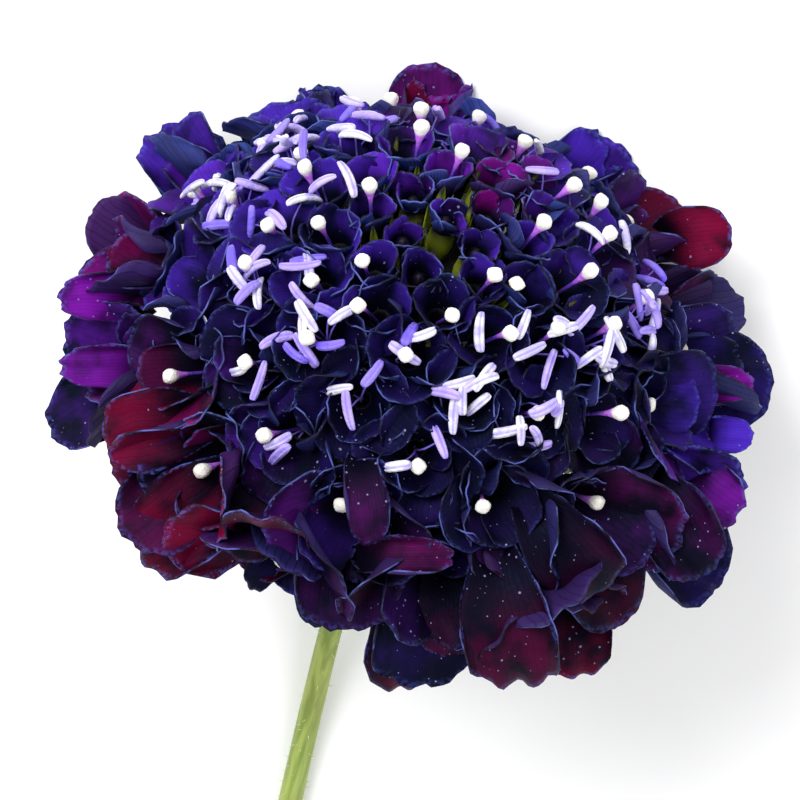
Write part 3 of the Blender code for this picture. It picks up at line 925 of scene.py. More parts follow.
def add_landmarks():
    """Each measured lobe, grown from its base towards its tip and facing the camera."""
    shell = new_shell("along", "across", *HUES_AND_LIGHT)
    for number, (base_at, tip_at, heights, width, hues_and_light, rolls) in enumerate(LANDMARKS):
        chance = random.Random(LANDMARK_SEED + number)
        base = pictured(base_at, heights[0] * MM)
        tip = pictured(tip_at, heights[1] * MM)
        outward = (tip - base).normalized()
        facing = camera.matrix_world.translation - base
        facing = (facing - outward * facing.dot(outward)).normalized()
        axes = Matrix((outward, facing.cross(outward), facing)).transposed().to_4x4()
        shape = {
            "length": (tip - base).length,
            "start": LANDMARK_START,
            "end": math.pi - LANDMARK_START,
            "half_width": width / 2 * MM,
            "cup": chance.uniform(*LANDMARK_CUP),
            "twist": chance.uniform(-LANDMARK_TWIST, LANDMARK_TWIST),
            "rolls": rolls,
            **dict(zip(HUES_AND_LIGHT, hues_and_light)),
        }
        frame = Matrix.Translation(base) @ axes
        bend_lobe(shell, frame, shape, chance, number, LANDMARK_GRID, LANDMARK_GRID)
    name = "landmark_petals"
    return finish_piece(shell["mesh"], name, petal_skins, "flower_head", PETAL_THICKNESS)


add_landmarks()

# %% [markdown]
# Many of the parts below are turned shapes: tubes, cups, stigmas, the receptacle. Each is spun once from
# an outline of radii and heights, as a template. A repeated part is then stamped into the piece's bmesh,
# and only the stamp's own points are moved, so no two of them need be quite alike.

# %% Turning an outline, and stamping the result
WELD = 0.005 * MM


def in_mm(outline):
    """An outline given in millimetres, in metres."""
    return [(radius * MM, height * MM) for radius, height in outline]


def turned(outline, sides):
    """A template mesh, spun about +Z from an outline of (radius, height)."""
    solid = bmesh.new()
    corners = [solid.verts.new((radius, 0.0, height)) for radius, height in outline]
    profile = [solid.edges.new(pair) for pair in zip(corners, corners[1:])]
    bmesh.ops.spin(
        solid, geom=corners + profile, cent=(0, 0, 0), axis=(0, 0, 1), angle=2 * math.pi,
        steps=sides, use_merge=True,
    )
    bmesh.ops.remove_doubles(solid, verts=solid.verts, dist=WELD)
    bmesh.ops.recalc_face_normals(solid, faces=solid.faces)
    template = bpy.data.meshes.new("template")
    solid.to_mesh(template)
    solid.free()
    return template


def stamp(gathered, template):
    """Adds a copy of a template to a bmesh and returns the copy's points."""
    before = len(gathered.verts)
    gathered.from_mesh(template)
    gathered.verts.ensure_lookup_table()
    return gathered.verts[before:]


print("a template's points closer than", round(WELD / MM, 3), "mm become one")

# %% [markdown]
# Below its lobes each floret is a narrow tube that stands in the receptacle. The tubes are seen between
# the petals and from behind, where they pale towards the base.

# %% Floret tubes
FOOT_DEPTH = 6.2 * MM
TUBE_SIDES = 8
TUBE_OUTLINE = ((0.45, -5.9), (0.48, -4.0), (0.5, -2.2), (0.64, -0.9), (0.88, 0.15))
TUBE_THICKNESS = 0.12 * MM


def dull_tube():
    """Dull purple that pales to straw at the tube's foot and darkens in its mouth."""
    finish = Finish("dull_tube")
    along = finish.attribute("along")
    streaks = finish.noise(900.0)
    colour = finish.mix(streaks.between(0.4, 0.7), rgb(20, 8, 34), rgb(40, 18, 60))
    colour = finish.mix(along.between(0.0, 0.5), rgb(110, 104, 84), colour)
    colour = finish.mix(along.between(0.75, 0.95), colour, rgb(10, 5, 20))
    return finish.surface({
        "Base Color": colour,
        "Roughness": 0.55 + streaks * 0.2,
        "Normal": finish.bump(streaks, 0.1 * MM, 0.5),
        "Specular IOR Level": 0.15,
    })


def add_tubes():
    """A tube under each open floret."""
    shell = new_shell("along")
    template = turned(in_mm(TUBE_OUTLINE), TUBE_SIDES)
    for place in places:
        if place["age"] >= BUD_AGE:
            for vertex in stamp(shell["mesh"], template):
                vertex[shell["along"]] = 1 + vertex.co.z / FOOT_DEPTH
                vertex.co = settled(place["matrix"] @ vertex.co, 1)
    skins = [dull_tube()]
    return finish_piece(shell["mesh"], "floret_tubes", skins, "flower_head", TUBE_THICKNESS)


add_tubes()

# %% [markdown]
# The florets stand in a domed receptacle that narrows behind to a flat back. Almost all of it is hidden,
# but between the petals and from behind it has to be there, dark above and green below. It is a turned
# shape, so a profile is spun about the head's axis.

# %% The receptacle
CORE_RADIUS = 14.5 * MM
CORE_HEIGHT = 12.6 * MM
CORE_BASE = -4.5 * MM
BACK_RADIUS = 6.5 * MM
SHOULDER = (10.5 * MM, -3.0 * MM)
DOME_STEPS = 8
DOME_SHARE = 0.97
CORE_SIDES = 40
DARK_FROM = (0.03, 0.045)


def receptacle_flesh():
    """Green behind, and dark where it faces the florets."""
    finish = Finish("receptacle_flesh")
    height = finish.node("SeparateXYZ", inputs={"Vector": finish.place()}, output="Y")
    mottle = finish.noise(500.0)
    colour = finish.mix(mottle.between(0.35, 0.65), rgb(56, 78, 30), rgb(44, 36, 30))
    return finish.surface({
        "Base Color": finish.mix(height.between(*DARK_FROM), colour, rgb(14, 6, 20)),
        "Roughness": 0.6 + mottle * 0.2,
        "Normal": finish.bump(mottle, 0.3 * MM, 0.6),
    })


def add_receptacle():
    """The turned body that the florets stand in."""
    quarter = [math.pi / 2 * step / DOME_STEPS for step in range(DOME_STEPS + 1)]
    back = [(0.0, CORE_BASE), (BACK_RADIUS, CORE_BASE), SHOULDER]
    across = CORE_RADIUS * DOME_SHARE
    dome = [(across * math.cos(turn), CORE_HEIGHT * math.sin(turn)) for turn in quarter]
    gathered = bmesh.new()
    points = stamp(gathered, turned(back + dome, CORE_SIDES))
    bmesh.ops.transform(gathered, matrix=HEAD, verts=points)
    finish_piece(gathered, "receptacle", [receptacle_flesh()], "flower_head")


add_receptacle()

# %% [markdown]
# Behind the rays each floret sits in its own small green cup, ribbed and finely hairy, which becomes the
# fruit. From behind, two rows of longer ones lie over the receptacle like spokes and hide it, each with
# the start of its floret's tube in it. All of them are turned, and every second column of points is
# drawn in to make the ribs. The spokes are then bent along the receptacle's back.

# %% The cups' outline, skin and ribs
CUP_AGES = (0.6, 1.01)
CUP_SIDES = 12
CUP_OUTLINE = (
    (0.0, -6.6), (0.7, -6.4), (1.05, -4.6), (1.15, -3.0), (1.75, -2.1), (1.6, -2.2), (0.6, -3.0),
)
RIB_PULL = 0.82
SPOKES = 27
SPOKE_STRETCH = 1.42
SPOKE_SIZES = (0.86, 1.04)
SPOKE_SCATTER = 0.16
SPOKE_DEPTH = 0.8
SPOKE_SEED = 900
SECOND_ROW = {"size": 0.8, "start": 0.6, "rise": 0.55, "seed": 100}
SPOKE_OUTLINE = (
    (0.0, 0.0), (0.42, 0.1), (0.66, 1.2), (0.92, 3.2), (1.06, 5.4), (1.02, 6.0),
    (1.62, 7.2), (1.45, 7.25), (0.6, 6.4), (0.62, 8.0), (0.78, 10.4), (0.0, 10.5),
)
SPOKE_TUBE = (6.5, 8.5)
BACK_LINE = ((4.8, -4.75), (7.0, -4.7), (10.6, -3.6), (13.4, -1.3), (14.9, 1.2), (16.4, 4.4))


def green_skin(name, deep, pale):
    """A matt green, paler in patches and where fine hairs catch the light, and purple on a tube."""
    finish = Finish(name)
    patches = finish.noise(350.0)
    hairs = finish.noise(FUZZ_PER_METRE, detail=1.0)
    colour = finish.mix(patches.between(0.3, 0.7), deep, pale)
    colour = finish.mix(hairs.between(0.58, 0.75) * 0.35, colour, rgb(214, 220, 180))
    colour = finish.mix(finish.attribute("tube").between(0.3, 0.8), colour, rgb(62, 26, 78))
    return finish.surface({
        "Base Color": colour,
        "Roughness": 0.5 + hairs * 0.3,
        "Normal": finish.bump(hairs + patches, 0.1 * MM, 0.5),
        "Sheen Weight": 0.3,
        "Sheen Tint": rgb(230, 240, 200),
    })


def ribbed(point, sides):
    """A turned shape's point, drawn in on every second column."""
    column = round(math.atan2(point.y, point.x) / (2 * math.pi) * sides)
    pull = RIB_PULL if column % 2 else 1.0
    return Vector((point.x * pull, point.y * pull, point.z))


def along_back(reach):
    """The radius, height and slope of the receptacle's back, so far along its line from the whorl."""
    for (radius, height), (next_radius, next_height) in zip(BACK_LINE, BACK_LINE[1:]):
        step = math.hypot(next_radius - radius, next_height - height)
        slope = math.atan2(next_height - height, next_radius - radius)
        if reach <= step or next_radius == BACK_LINE[-1][0]:
            break
        reach -= step
    return radius + reach * math.cos(slope), height + reach * math.sin(slope), slope


print("a full-size spoke is", round(SPOKE_OUTLINE[-1][1] * SPOKE_STRETCH, 1), "mm long")


# %% Cups and spokes
def add_fruit_cups():
    """The cups behind the rays, and two rows of spokes, the second shorter and over the first."""
    shell = new_shell("tube")
    cup = turned(in_mm(CUP_OUTLINE), CUP_SIDES)
    for place in places:
        if CUP_AGES[0] < place["age"] < CUP_AGES[1]:
            for vertex in stamp(shell["mesh"], cup):
                vertex.co = settled(place["matrix"] @ ribbed(vertex.co, CUP_SIDES), 1)
    spoke = turned(SPOKE_OUTLINE, CUP_SIDES)
    for row in range(2):
        for number in range(SPOKES):
            chance = random.Random(SPOKE_SEED + number + SECOND_ROW["seed"] * row)
            scatter = chance.uniform(-SPOKE_SCATTER, SPOKE_SCATTER)
            turn = 2 * math.pi * (number + row / 2 + scatter) / SPOKES
            size = chance.uniform(*SPOKE_SIZES) * (SECOND_ROW["size"] if row else 1.0)
            start = SECOND_ROW["start"] * row
            for vertex in stamp(shell["mesh"], spoke):
                point = ribbed(vertex.co, CUP_SIDES)
                radius, height, slope = along_back(point.z * size * SPOKE_STRETCH + start)
                off = point.x * size * SPOKE_DEPTH + SECOND_ROW["rise"] * row
                radius += off * math.sin(slope)
                height -= off * math.cos(slope)
                vertex[shell["tube"]] = eased(point.z, *SPOKE_TUBE)
                local = Vector((radius, point.y * size, height)) * MM
                vertex.co = settled(HEAD @ Matrix.Rotation(turn, 4, "Z") @ local, 1)
    cup_green = green_skin("fruit_cup_green", rgb(70, 96, 46), rgb(150, 168, 100))
    finish_piece(shell["mesh"], "fruit_cups", [cup_green], "flower_head")


add_fruit_cups()

# %% [markdown]
# In the very middle the florets are still shut. Each is a small lobed club, yellow-green with a dark
# tip. A sphere stretched along the floret's axis, with five shallow furrows pressed into its upper half,
# reads as a bud at this size. Pointed green scales stand between the youngest florets.

# %% Buds and scales in the middle
BUD_RADIUS = 1.15 * MM
BUD_LENGTH = 2.6 * MM
BUD_FURROW = 0.16
SCALE_AGES = (-0.01, 0.36)
SCALES_EACH = 3
SCALE_LENGTHS = (2.4, 4.2)
SCALE_WIDTH = 0.45 * MM
SCALE_POINT = 0.9
SCALE_OUT = 1.7 * MM
SCALE_FOLD = 0.25 * MM
SCALE_FOOT = 1.2 * MM
SCALE_GREEN = 0.8
SCALE_THICKNESS = 0.12 * MM


def bud_skin():
    """Yellow-green that turns dark towards the tip."""
    finish = Finish("bud_skin")
    along = finish.attribute("along")
    mottle = finish.noise(700.0)
    colour = finish.mix(mottle, rgb(92, 112, 20), rgb(176, 184, 60))
    colour = finish.mix((along + mottle * 0.3).between(0.55, 0.95), colour, rgb(16, 5, 28))
    return finish.surface({
        "Base Color": colour,
        "Roughness": 0.45 + mottle * 0.2,
        "Normal": finish.bump(mottle, 0.1 * MM, 0.4),
        "Specular IOR Level": 0.2,
    })


def add_buds(skin):
    """A furrowed ball for each shut floret."""
    shell = new_shell("along")
    for place in places:
        if place["age"] < BUD_AGE:
            ball = bmesh.ops.create_uvsphere(shell["mesh"], u_segments=15, v_segments=9, radius=1.0)
            for vertex in ball["verts"]:
                up = vertex.co.z
                lobed = 1 - math.cos(LOBES * math.atan2(vertex.co.y, vertex.co.x))
                furrow = 1 - BUD_FURROW * max(up, 0.0) * lobed
                vertex[shell["along"]] = (up + 1) / 2
                local = Vector((
                    vertex.co.x * BUD_RADIUS * furrow,
                    vertex.co.y * BUD_RADIUS * furrow,
                    (up - 0.5) * BUD_LENGTH,
                ))
                vertex.co = place["matrix"] @ local
    finish_piece(shell["mesh"], "centre_buds", [skin], "flower_head")


def add_scales(skin):
    """Upright pointed scales round each young floret."""
    shell = new_shell("along")
    for place in places:
        if SCALE_AGES[0] < place["age"] < SCALE_AGES[1]:
            for leaf in range(SCALES_EACH):
                chance = random.Random(place["number"] * 10 + leaf)
                grid = bmesh.ops.create_grid(shell["mesh"], x_segments=2, y_segments=4, size=1.0)
                spin = Matrix.Rotation(chance.uniform(0, 2 * math.pi), 4, "Z")
                length = chance.uniform(*SCALE_LENGTHS) * MM
                for vertex in grid["verts"]:
                    along = (vertex.co.y + 1) / 2
                    vertex[shell["along"]] = along * SCALE_GREEN
                    side = vertex.co.x * SCALE_WIDTH * (1 - along**2 * SCALE_POINT)
                    out = SCALE_OUT + SCALE_FOLD * abs(vertex.co.x)
                    local = Vector((out, side, along * length - SCALE_FOOT))
                    vertex.co = place["matrix"] @ spin @ local
    finish_piece(shell["mesh"], "green_scales", [skin], "flower_head", SCALE_THICKNESS)


young_skin = bud_skin()
add_buds(young_skin)
add_scales(young_skin)

# %% [markdown]
# White knobs stand all over the head: the stigmas, each on a style that flares into it like a golf tee
# and is violet where it flares. They are turned from one outline. The outline starts inside the floret's
# tube, and each leans and bends a little its own way.

# %% Stigmas
STYLE_LENGTH = 4.6 * MM
STYLE_LEAN = math.radians(18.0)
STALK_SEAT = 0.8 * MM
STIGMA_AGE = 0.3
STIGMA_SHARE = 0.38
STIGMA_OUTLINE = (
    (0.0, -1.0), (0.16, -1.0), (0.15, 2.4), (0.24, 3.2), (0.47, 3.95), (0.62, 4.3), (0.64, 4.6),
    (0.5, 4.88), (0.25, 5.0), (0.0, 5.03),
)
STIGMA_SIDES = 12
MORE_STIGMAS = 0.8
STRETCH = (0.75, 1.1)
STYLE_BOW = 0.5
LUMPS = (0.04, 0.16)
STIGMA_SEED = 500
CLEARANCE = 1.5 * MM


def stigma_flesh():
    """A chalky white knob on a violet neck."""
    finish = Finish("stigma_flesh")
    along = finish.attribute("along")
    grain = finish.noise(2500.0)
    neck = finish.mix(along.between(0.45, 0.8), rgb(84, 50, 170), rgb(190, 110, 230))
    knob = finish.mix(grain, rgb(214, 210, 204), rgb(250, 248, 240))
    return finish.surface({
        "Base Color": finish.mix(along.between(0.8, 0.9), neck, knob),
        "Roughness": 0.55 + grain * 0.2,
        "Normal": finish.bump(grain, 0.2 * MM, 0.8),
        "Subsurface Weight": 0.1,
        "Subsurface Scale": 0.0005,
    })


def add_stigmas():
    """A stigma out of most open florets, on the solid's own places first."""
    shell = new_shell("along")
    template = turned(in_mm(STIGMA_OUTLINE), STIGMA_SIDES)
    count = 0
    for place in places:
        number = place["number"]
        solid_has_one = place["age"] > STIGMA_AGE and drawn(number, 5) < STIGMA_SHARE
        if place["age"] < BUD_AGE or not (solid_has_one or drawn(number, 40) < MORE_STIGMAS):
            continue
        chance = random.Random(STIGMA_SEED + number)
        stretch = 1.0 if solid_has_one else chance.uniform(*STRETCH)
        bow = chance.uniform(-STYLE_BOW, STYLE_BOW) * MM
        lumps = chance.uniform(*LUMPS)
        spin = Matrix.Rotation(2 * math.pi * drawn(number, 7), 4, "Z")
        lean = Matrix.Rotation(STYLE_LEAN * drawn(number, 6), 4, "Y")
        stand = place["matrix"] @ spin @ Matrix.Translation((STALK_SEAT / 2, 0, 0)) @ lean
        if (stand @ Vector((0, 0, STYLE_LENGTH))).z < CLEARANCE:
            continue
        for vertex in stamp(shell["mesh"], template):
            share = vertex.co.z / STYLE_LENGTH
            vertex[shell["along"]] = share
            oval = math.cos(2 * math.atan2(vertex.co.y, vertex.co.x))
            swell = 1 + lumps * oval * eased(share, 0.7, 0.95)
            high = vertex.co.z * stretch + 0.5 * lumps * vertex.co.x * eased(share, 0.85, 1.05)
            side = vertex.co.y * (2 - swell) + bow * share**2
            vertex.co = stand @ Vector((vertex.co.x * swell, side, high))
        count += 1
    print(count, "stigmas")
    return finish_piece(shell["mesh"], "stigmas", [stigma_flesh()], "flower_head")


add_stigmas()

# %% [markdown]
# Florets of middle age hold out their stamens: four thin violet filaments, each with a pale lavender
# anther across its end. They make a bright ring round the head, thick in some places and thin in others.
# A floret's first stamen stands where the solid has it. The others stand by chance, and chance favours
# the spots below, where a few more lean in from the neighbours.

# %% Where the stamens stand
ANTHER_AGES = (0.34, 0.62)
NEAR_AGES = (ANTHER_AGES[0] - 0.1, ANTHER_AGES[1] + 0.1)
FILAMENT_LENGTH = 4.2 * MM
FILAMENT_LEAN = (math.radians(15.0), math.radians(38.0))
FILAMENT_ROOT = -1.0 * MM
FILAMENT_BOW = 0.7 * MM
FILAMENT_STEPS = 5
STAMENS = 4
LEANING_IN = 3
CROWDED = 0.55
STAMEN_SEEDS = 8
FREE_TURN = 0.8
FREE_LEAN = (0.05, 0.6)
FREE_LENGTH = (0.75, 1.15)
FREE_TILT = 0.6
FILAMENT_CLEARANCE = 0.5 * MM
ANTHER_SPOTS = (
    (-12, 7, 6, 1.0), (-8, 0, 6, 1.0), (-1, -2, 4, 0.9), (5, -4, 5, 0.9), (12, -4, 5, 1.0),
    (19, 1, 5, 0.9), (22, 10, 4, 0.8), (-12, 17, 6, 1.0), (-6, 21, 4, 0.7), (-17, 5, 3, 0.8),
    (-16, 13, 4, 0.8), (12, 1, 3, 0.6),
)


def stamen_stands():
    """Where each stamen ends, with its anther's tone, and the bowed line of its filament."""
    stands = []
    for place in places:
        number = place["number"]
        if not NEAR_AGES[0] < place["age"] < NEAR_AGES[1]:
            continue
        crowded = near_spots(seen_at(place["matrix"] @ Vector((0, 0, FILAMENT_LENGTH))), ANTHER_SPOTS)
        for stamen in range(STAMENS + LEANING_IN * (crowded > CROWDED)):
            chance = random.Random(number * STAMEN_SEEDS + stamen)
            own = stamen == 0 and ANTHER_AGES[0] < place["age"] < ANTHER_AGES[1]
            if not own and chance.random() > 2.0 * crowded**1.6:
                continue
            turn = 2 * math.pi * (drawn(number, 9) + stamen / STAMENS)
            lean = between(*FILAMENT_LEAN, drawn(number, 8))
            length = FILAMENT_LENGTH
            tilt = Matrix.Identity(4)
            if not own:
                turn += chance.uniform(-FREE_TURN, FREE_TURN)
                lean = chance.uniform(*FREE_LEAN)
                length *= chance.uniform(*FREE_LENGTH)
                spin = Matrix.Rotation(chance.uniform(0, math.pi), 4, "Z")
                tilt = spin @ Matrix.Rotation(chance.uniform(-FREE_TILT, FREE_TILT), 4, "Y")
            foot = place["matrix"] @ Matrix.Rotation(turn, 4, "Z")
            stand = foot @ Matrix.Translation((STALK_SEAT / 2, 0, 0)) @ Matrix.Rotation(lean, 4, "Y")
            line = []
            for step in range(FILAMENT_STEPS + 1):
                along = step / FILAMENT_STEPS
                bow = FILAMENT_BOW * math.sin(math.pi * along) * (1 if stamen % 2 else -1)
                line.append(stand @ Vector((bow, 0, between(FILAMENT_ROOT, length, along))))
            end = stand @ Matrix.Translation((0, 0, length)) @ tilt
            if min(point.z for point in line) > FILAMENT_CLEARANCE and end.translation.z > CLEARANCE:
                stands.append({"end": end, "line": line, "tone": chance.random()})
    return stands


stands = stamen_stands()
print(len(stands), "stamens")

# %% [markdown]
# An anther is a pale bar that is balanced across the end of its filament. It starts as a sphere: it is
# stretched into a bar with round ends, bent a little, and furrowed along its length where its two halves
# meet. Its tone and its furrow are stored on its points, so one finish colours them all differently and
# paints shade into the furrow.

# %% Anthers
ANTHER_LENGTH = 3.2 * MM
ANTHER_WIDTH = 0.86 * MM
ANTHER_DEPTH = 0.42
ANTHER_STRETCH = (0.8, 1.15)
ANTHER_BOW = (-0.05, 0.3)
ANTHER_CURVE = 0.25
ANTHER_SLIM = (0.85, 1.1)
ANTHER_TAPER = 0.12
ROUND_ENDS = 0.8
BAR_GIRTH = -0.27
FURROW_WIDTH = 2.6
FURROW_DEPTH = 0.35


def anther_skin():
    """Lavender to nearly white by the anther's tone, with painted shade in its furrow, a darker violet.
    """
    finish = Finish("anther_skin")
    tone = finish.attribute("tone")
    grain = finish.noise(2800.0)
    soft = finish.noise(700.0)
    colour = finish.mix(tone.between(0.0, 0.3), rgb(104, 84, 222), rgb(188, 168, 242))
    colour = finish.mix(tone.between(0.35, 0.65), colour, rgb(232, 232, 236))
    colour = finish.mix(soft.between(0.42, 0.62) * 0.55, colour, rgb(150, 128, 232))
    # Painted shade: the anther's furrow is darkened towards violet.
    colour = finish.mix(finish.attribute("furrow") * 0.6, colour, rgb(104, 84, 196))
    return finish.surface({
        "Base Color": colour,
        "Roughness": 0.6 + grain * 0.25,
        "Normal": finish.bump(grain, 0.2 * MM, 0.7),
    })


def add_anthers(stands):
    """A furrowed bar across the end of each filament."""
    shell = new_shell("tone", "furrow")
    for stand in stands:
        chance = random.Random(int(stand["tone"] * 1e6))
        stretch = chance.uniform(*ANTHER_STRETCH)
        bow = chance.uniform(*ANTHER_BOW)
        curve = chance.uniform(-ANTHER_CURVE, ANTHER_CURVE)
        slim = chance.uniform(*ANTHER_SLIM)
        lopsided = chance.choice((-1, 1))
        ball = bmesh.ops.create_uvsphere(shell["mesh"], u_segments=12, v_segments=10, radius=1.0)
        for vertex in ball["verts"]:
            along = vertex.co.z
            bar = math.copysign(abs(along) ** ROUND_ENDS, along)
            girth = max(1 - along**2, 0.001) ** BAR_GIRTH
            taper = slim * (1 + ANTHER_TAPER * along * lopsided)
            flat = vertex.co.y * girth * taper
            high = vertex.co.x * girth * taper
            crease = max(0.0, 1 - FURROW_WIDTH * abs(flat)) * (high > 0)
            high *= 1 - FURROW_DEPTH * crease
            local = Vector((
                bar * ANTHER_LENGTH / 2 * stretch,
                flat * ANTHER_WIDTH / 2 + curve * bar**2 * ANTHER_WIDTH,
                high * ANTHER_WIDTH * ANTHER_DEPTH - bow * bar**2 * ANTHER_LENGTH / 2,
            ))
            vertex[shell["tone"]] = stand["tone"]
            vertex[shell["furrow"]] = crease
            vertex.co = stand["end"] @ local
    return finish_piece(shell["mesh"], "anthers", [anther_skin()], "flower_head")


add_anthers(stands)

# %% [markdown]
# A filament is a thin bowed thread. A curve with a bevel makes a round tube along any line of points, and
# can thin it towards its end, which is less work than bending a cylinder. The curves become one mesh.

# %% Filaments
FILAMENT_RADIUS = 0.1 * MM
FILAMENT_THINNING = 0.35
STRAND_WELD = 0.02


def strand_mesh(name, lines, radius):
    """Thin round strands along lines of points, as one mesh."""
    curve = bpy.data.curves.new(name, "CURVE")
    curve.dimensions = "3D"
    curve.bevel_depth = radius
    curve.bevel_resolution = 1
    curve.use_fill_caps = True
    for line in lines:
        spline = curve.splines.new("POLY")
        spline.points.add(len(line) - 1)
        for number, (control, point) in enumerate(zip(spline.points, line)):
            control.co = (*point, 1.0)
            control.radius = 1.0 - FILAMENT_THINNING * number / (len(line) - 1)
    guide = bpy.data.objects.new(name, curve)
    bpy.context.scene.collection.objects.link(guide)
    shaped = guide.evaluated_get(bpy.context.evaluated_depsgraph_get())
    mesh = bpy.data.meshes.new_from_object(shaped)
    bpy.data.objects.remove(guide)
    gathered = bmesh.new()
    gathered.from_mesh(mesh)
    bpy.data.meshes.remove(mesh)
    bmesh.ops.remove_doubles(gathered, verts=gathered.verts, dist=radius * STRAND_WELD)
    bmesh.ops.recalc_face_normals(gathered, faces=gathered.faces)
    return gathered


def filament_skin():
    """Streaked violet."""
    finish = Finish("filament_skin")
    streaks = finish.noise(1200.0)
    return finish.surface({
        "Base Color": finish.mix(streaks, rgb(60, 40, 170), rgb(150, 130, 235)),
        "Roughness": 0.5 + streaks * 0.2,
    })


filaments = strand_mesh("filaments", [stand["line"] for stand in stands], FILAMENT_RADIUS)
finish_piece(filaments, "filaments", [filament_skin()], "flower_head")

# %% [markdown]
# A whorl of narrow green bracts backs the head. Each bract is a blade that is widest below its middle,
# keeled along its midrib and pointed, and it spreads and bends back. They grow from a small cup that the
# stem runs into. The grid that each blade starts from is bent by a formula, as the petals are.

# %% Bracts and their cup
SEAM = 0.3 * MM
WHORL_RADIUS = 4.6 * MM
WHORL_DEPTH = 2.4 * MM
NECK_RADIUS = 1.5 * MM
BRACTS = 11
BRACT_LENGTH = 9.5 * MM
BRACT_WIDTH = 2.3 * MM
BRACT_SLOPE = math.radians(20.0)
BRACT_ROOT = 1.6 * MM
BRACT_SCATTER = 0.2
BRACT_THICKNESS = 0.3 * MM
BRACT_KEEL = 0.3 * MM
BRACT_WAVE = 0.12 * MM
BRACT_CURL = 0.5
BRACT_SUNK = 0.25 * MM
SECOND_BRACTS = {"shift": 0.55, "size": 0.62, "lower": 0.3 * MM}
WHORL_TOP = CORE_BASE - SEAM


def blade_width(along):
    """A blade's width along it, as a share: widest below its middle, and pointed."""
    return (0.55 + 0.9 * along) * (1 - along**2.2) + 0.06


def add_bracts(skin):
    """Two rows of bent blades, the second row shorter, lower and between the first."""
    gathered = bmesh.new()
    for row in range(2):
        for number in range(BRACTS):
            shift = BRACT_SCATTER * drawn(number, 20) + row * SECOND_BRACTS["shift"]
            angle = 2 * math.pi * (number + shift) / BRACTS
            length = 1.0 - BRACT_SCATTER * drawn(number, 21)
            length *= SECOND_BRACTS["size"] if row else 1.0
            curl = BRACT_CURL * MM * drawn(number + 50 * row, 22)
            height = WHORL_TOP - BRACT_SUNK - row * SECOND_BRACTS["lower"]
            seat = HEAD @ Matrix.Translation((0, 0, height)) @ Matrix.Rotation(angle, 4, "Z")
            grid = bmesh.ops.create_grid(gathered, x_segments=6, y_segments=12, size=1.0)
            for vertex in grid["verts"]:
                along = (vertex.co.y + 1) / 2
                across = vertex.co.x
                side = across * BRACT_WIDTH / 2 * blade_width(along)
                out = WHORL_RADIUS - BRACT_ROOT + (BRACT_LENGTH + BRACT_ROOT) * along * length
                bend = BRACT_SLOPE * (1 + along) / 2
                keel = BRACT_KEEL * abs(across) * (1 - along)
                drop = -out * math.sin(bend) + keel - curl * along**3
                drop += BRACT_WAVE * math.sin(9 * along + number) * across
                vertex.co = seat @ Vector((out * math.cos(bend), side, drop))
    finish_piece(gathered, "bracts", [skin], "green_whorl", BRACT_THICKNESS)


def add_whorl_cup(skin):
    """The turned cup that the bracts grow from, down to the stem's neck."""
    outline = [
        (0.0, WHORL_TOP), (WHORL_RADIUS, WHORL_TOP), (WHORL_RADIUS * 1.02, WHORL_TOP - 0.4 * MM),
        (WHORL_RADIUS * 0.8, WHORL_TOP - 1.2 * MM), (NECK_RADIUS * 1.3, WHORL_TOP - WHORL_DEPTH * 0.85),
        (NECK_RADIUS, WHORL_TOP - WHORL_DEPTH), (0.0, WHORL_TOP - WHORL_DEPTH),
    ]
    gathered = bmesh.new()
    bmesh.ops.transform(gathered, matrix=HEAD, verts=stamp(gathered, turned(outline, 33)))
    finish_piece(gathered, "whorl_cup", [skin], "green_whorl")


bract_green = green_skin("bract_green", rgb(52, 78, 34), rgb(112, 138, 66))
add_bracts(bract_green)
add_whorl_cup(bract_green)

# %% [markdown]
# The stem bends down from the neck and lies along the surface to a slanting cut. Its middle line is an
# arc and then a level run with a slight sway, the same as the solid stem's.

# %% The stem's line
STEM_TOP_RADIUS = 1.0 * MM
STEM_CUT_RADIUS = 1.2 * MM
STEM_LENGTH = 108.0 * MM
STEM_SUNK = 0.12 * MM
STEM_SWAY = 3.0 * MM
CUT_BACK = 2.0 * MM
CUT_SLANT = math.radians(35.0)
STEM_RINGS = 120


def stem_point(along):
    """A point on the stem's middle line, an arc from the neck to the surface and then level."""
    neck = HEAD @ Vector((0, 0, WHORL_TOP - WHORL_DEPTH - SEAM))
    bend_radius = (neck.z - STEM_CUT_RADIUS + STEM_SUNK) / (1 - math.cos(FACE_RISE))
    arc = bend_radius * FACE_RISE
    foot_y = neck.y - bend_radius * math.sin(FACE_RISE)
    slope = FACE_RISE * max(0.0, 1.0 - along / arc)
    y = foot_y + bend_radius * math.sin(slope) - max(0.0, along - arc)
    z = STEM_CUT_RADIUS - STEM_SUNK + bend_radius * (1.0 - math.cos(slope))
    return Vector((neck.x + STEM_SWAY * eased(along, arc / 2, STEM_LENGTH), y, z))


def stem_radius(along):
    """The stem grows a little thicker towards its cut."""
    return between(STEM_TOP_RADIUS, STEM_CUT_RADIUS, along / STEM_LENGTH)


print("the stem's cut end is at", [round(value / MM, 1) for value in stem_point(STEM_LENGTH)], "mm")

# %% [markdown]
# The stem starts as a cylinder that is cut across into many rings. Each ring is set on the line, and its
# points are moved in and out to make ribs, which a curve with a bevel wouldn't have. A plane then cuts
# the tube, and the open end is filled and inset, so that the pith shows inside a thin green ring.

# %% The stem and its cut
STEM_SIDES = 20
RIBS = 5
RIB_DEPTH = 0.05
PITH_INSET = 0.22 * MM
PITH_SUNK = 0.06 * MM


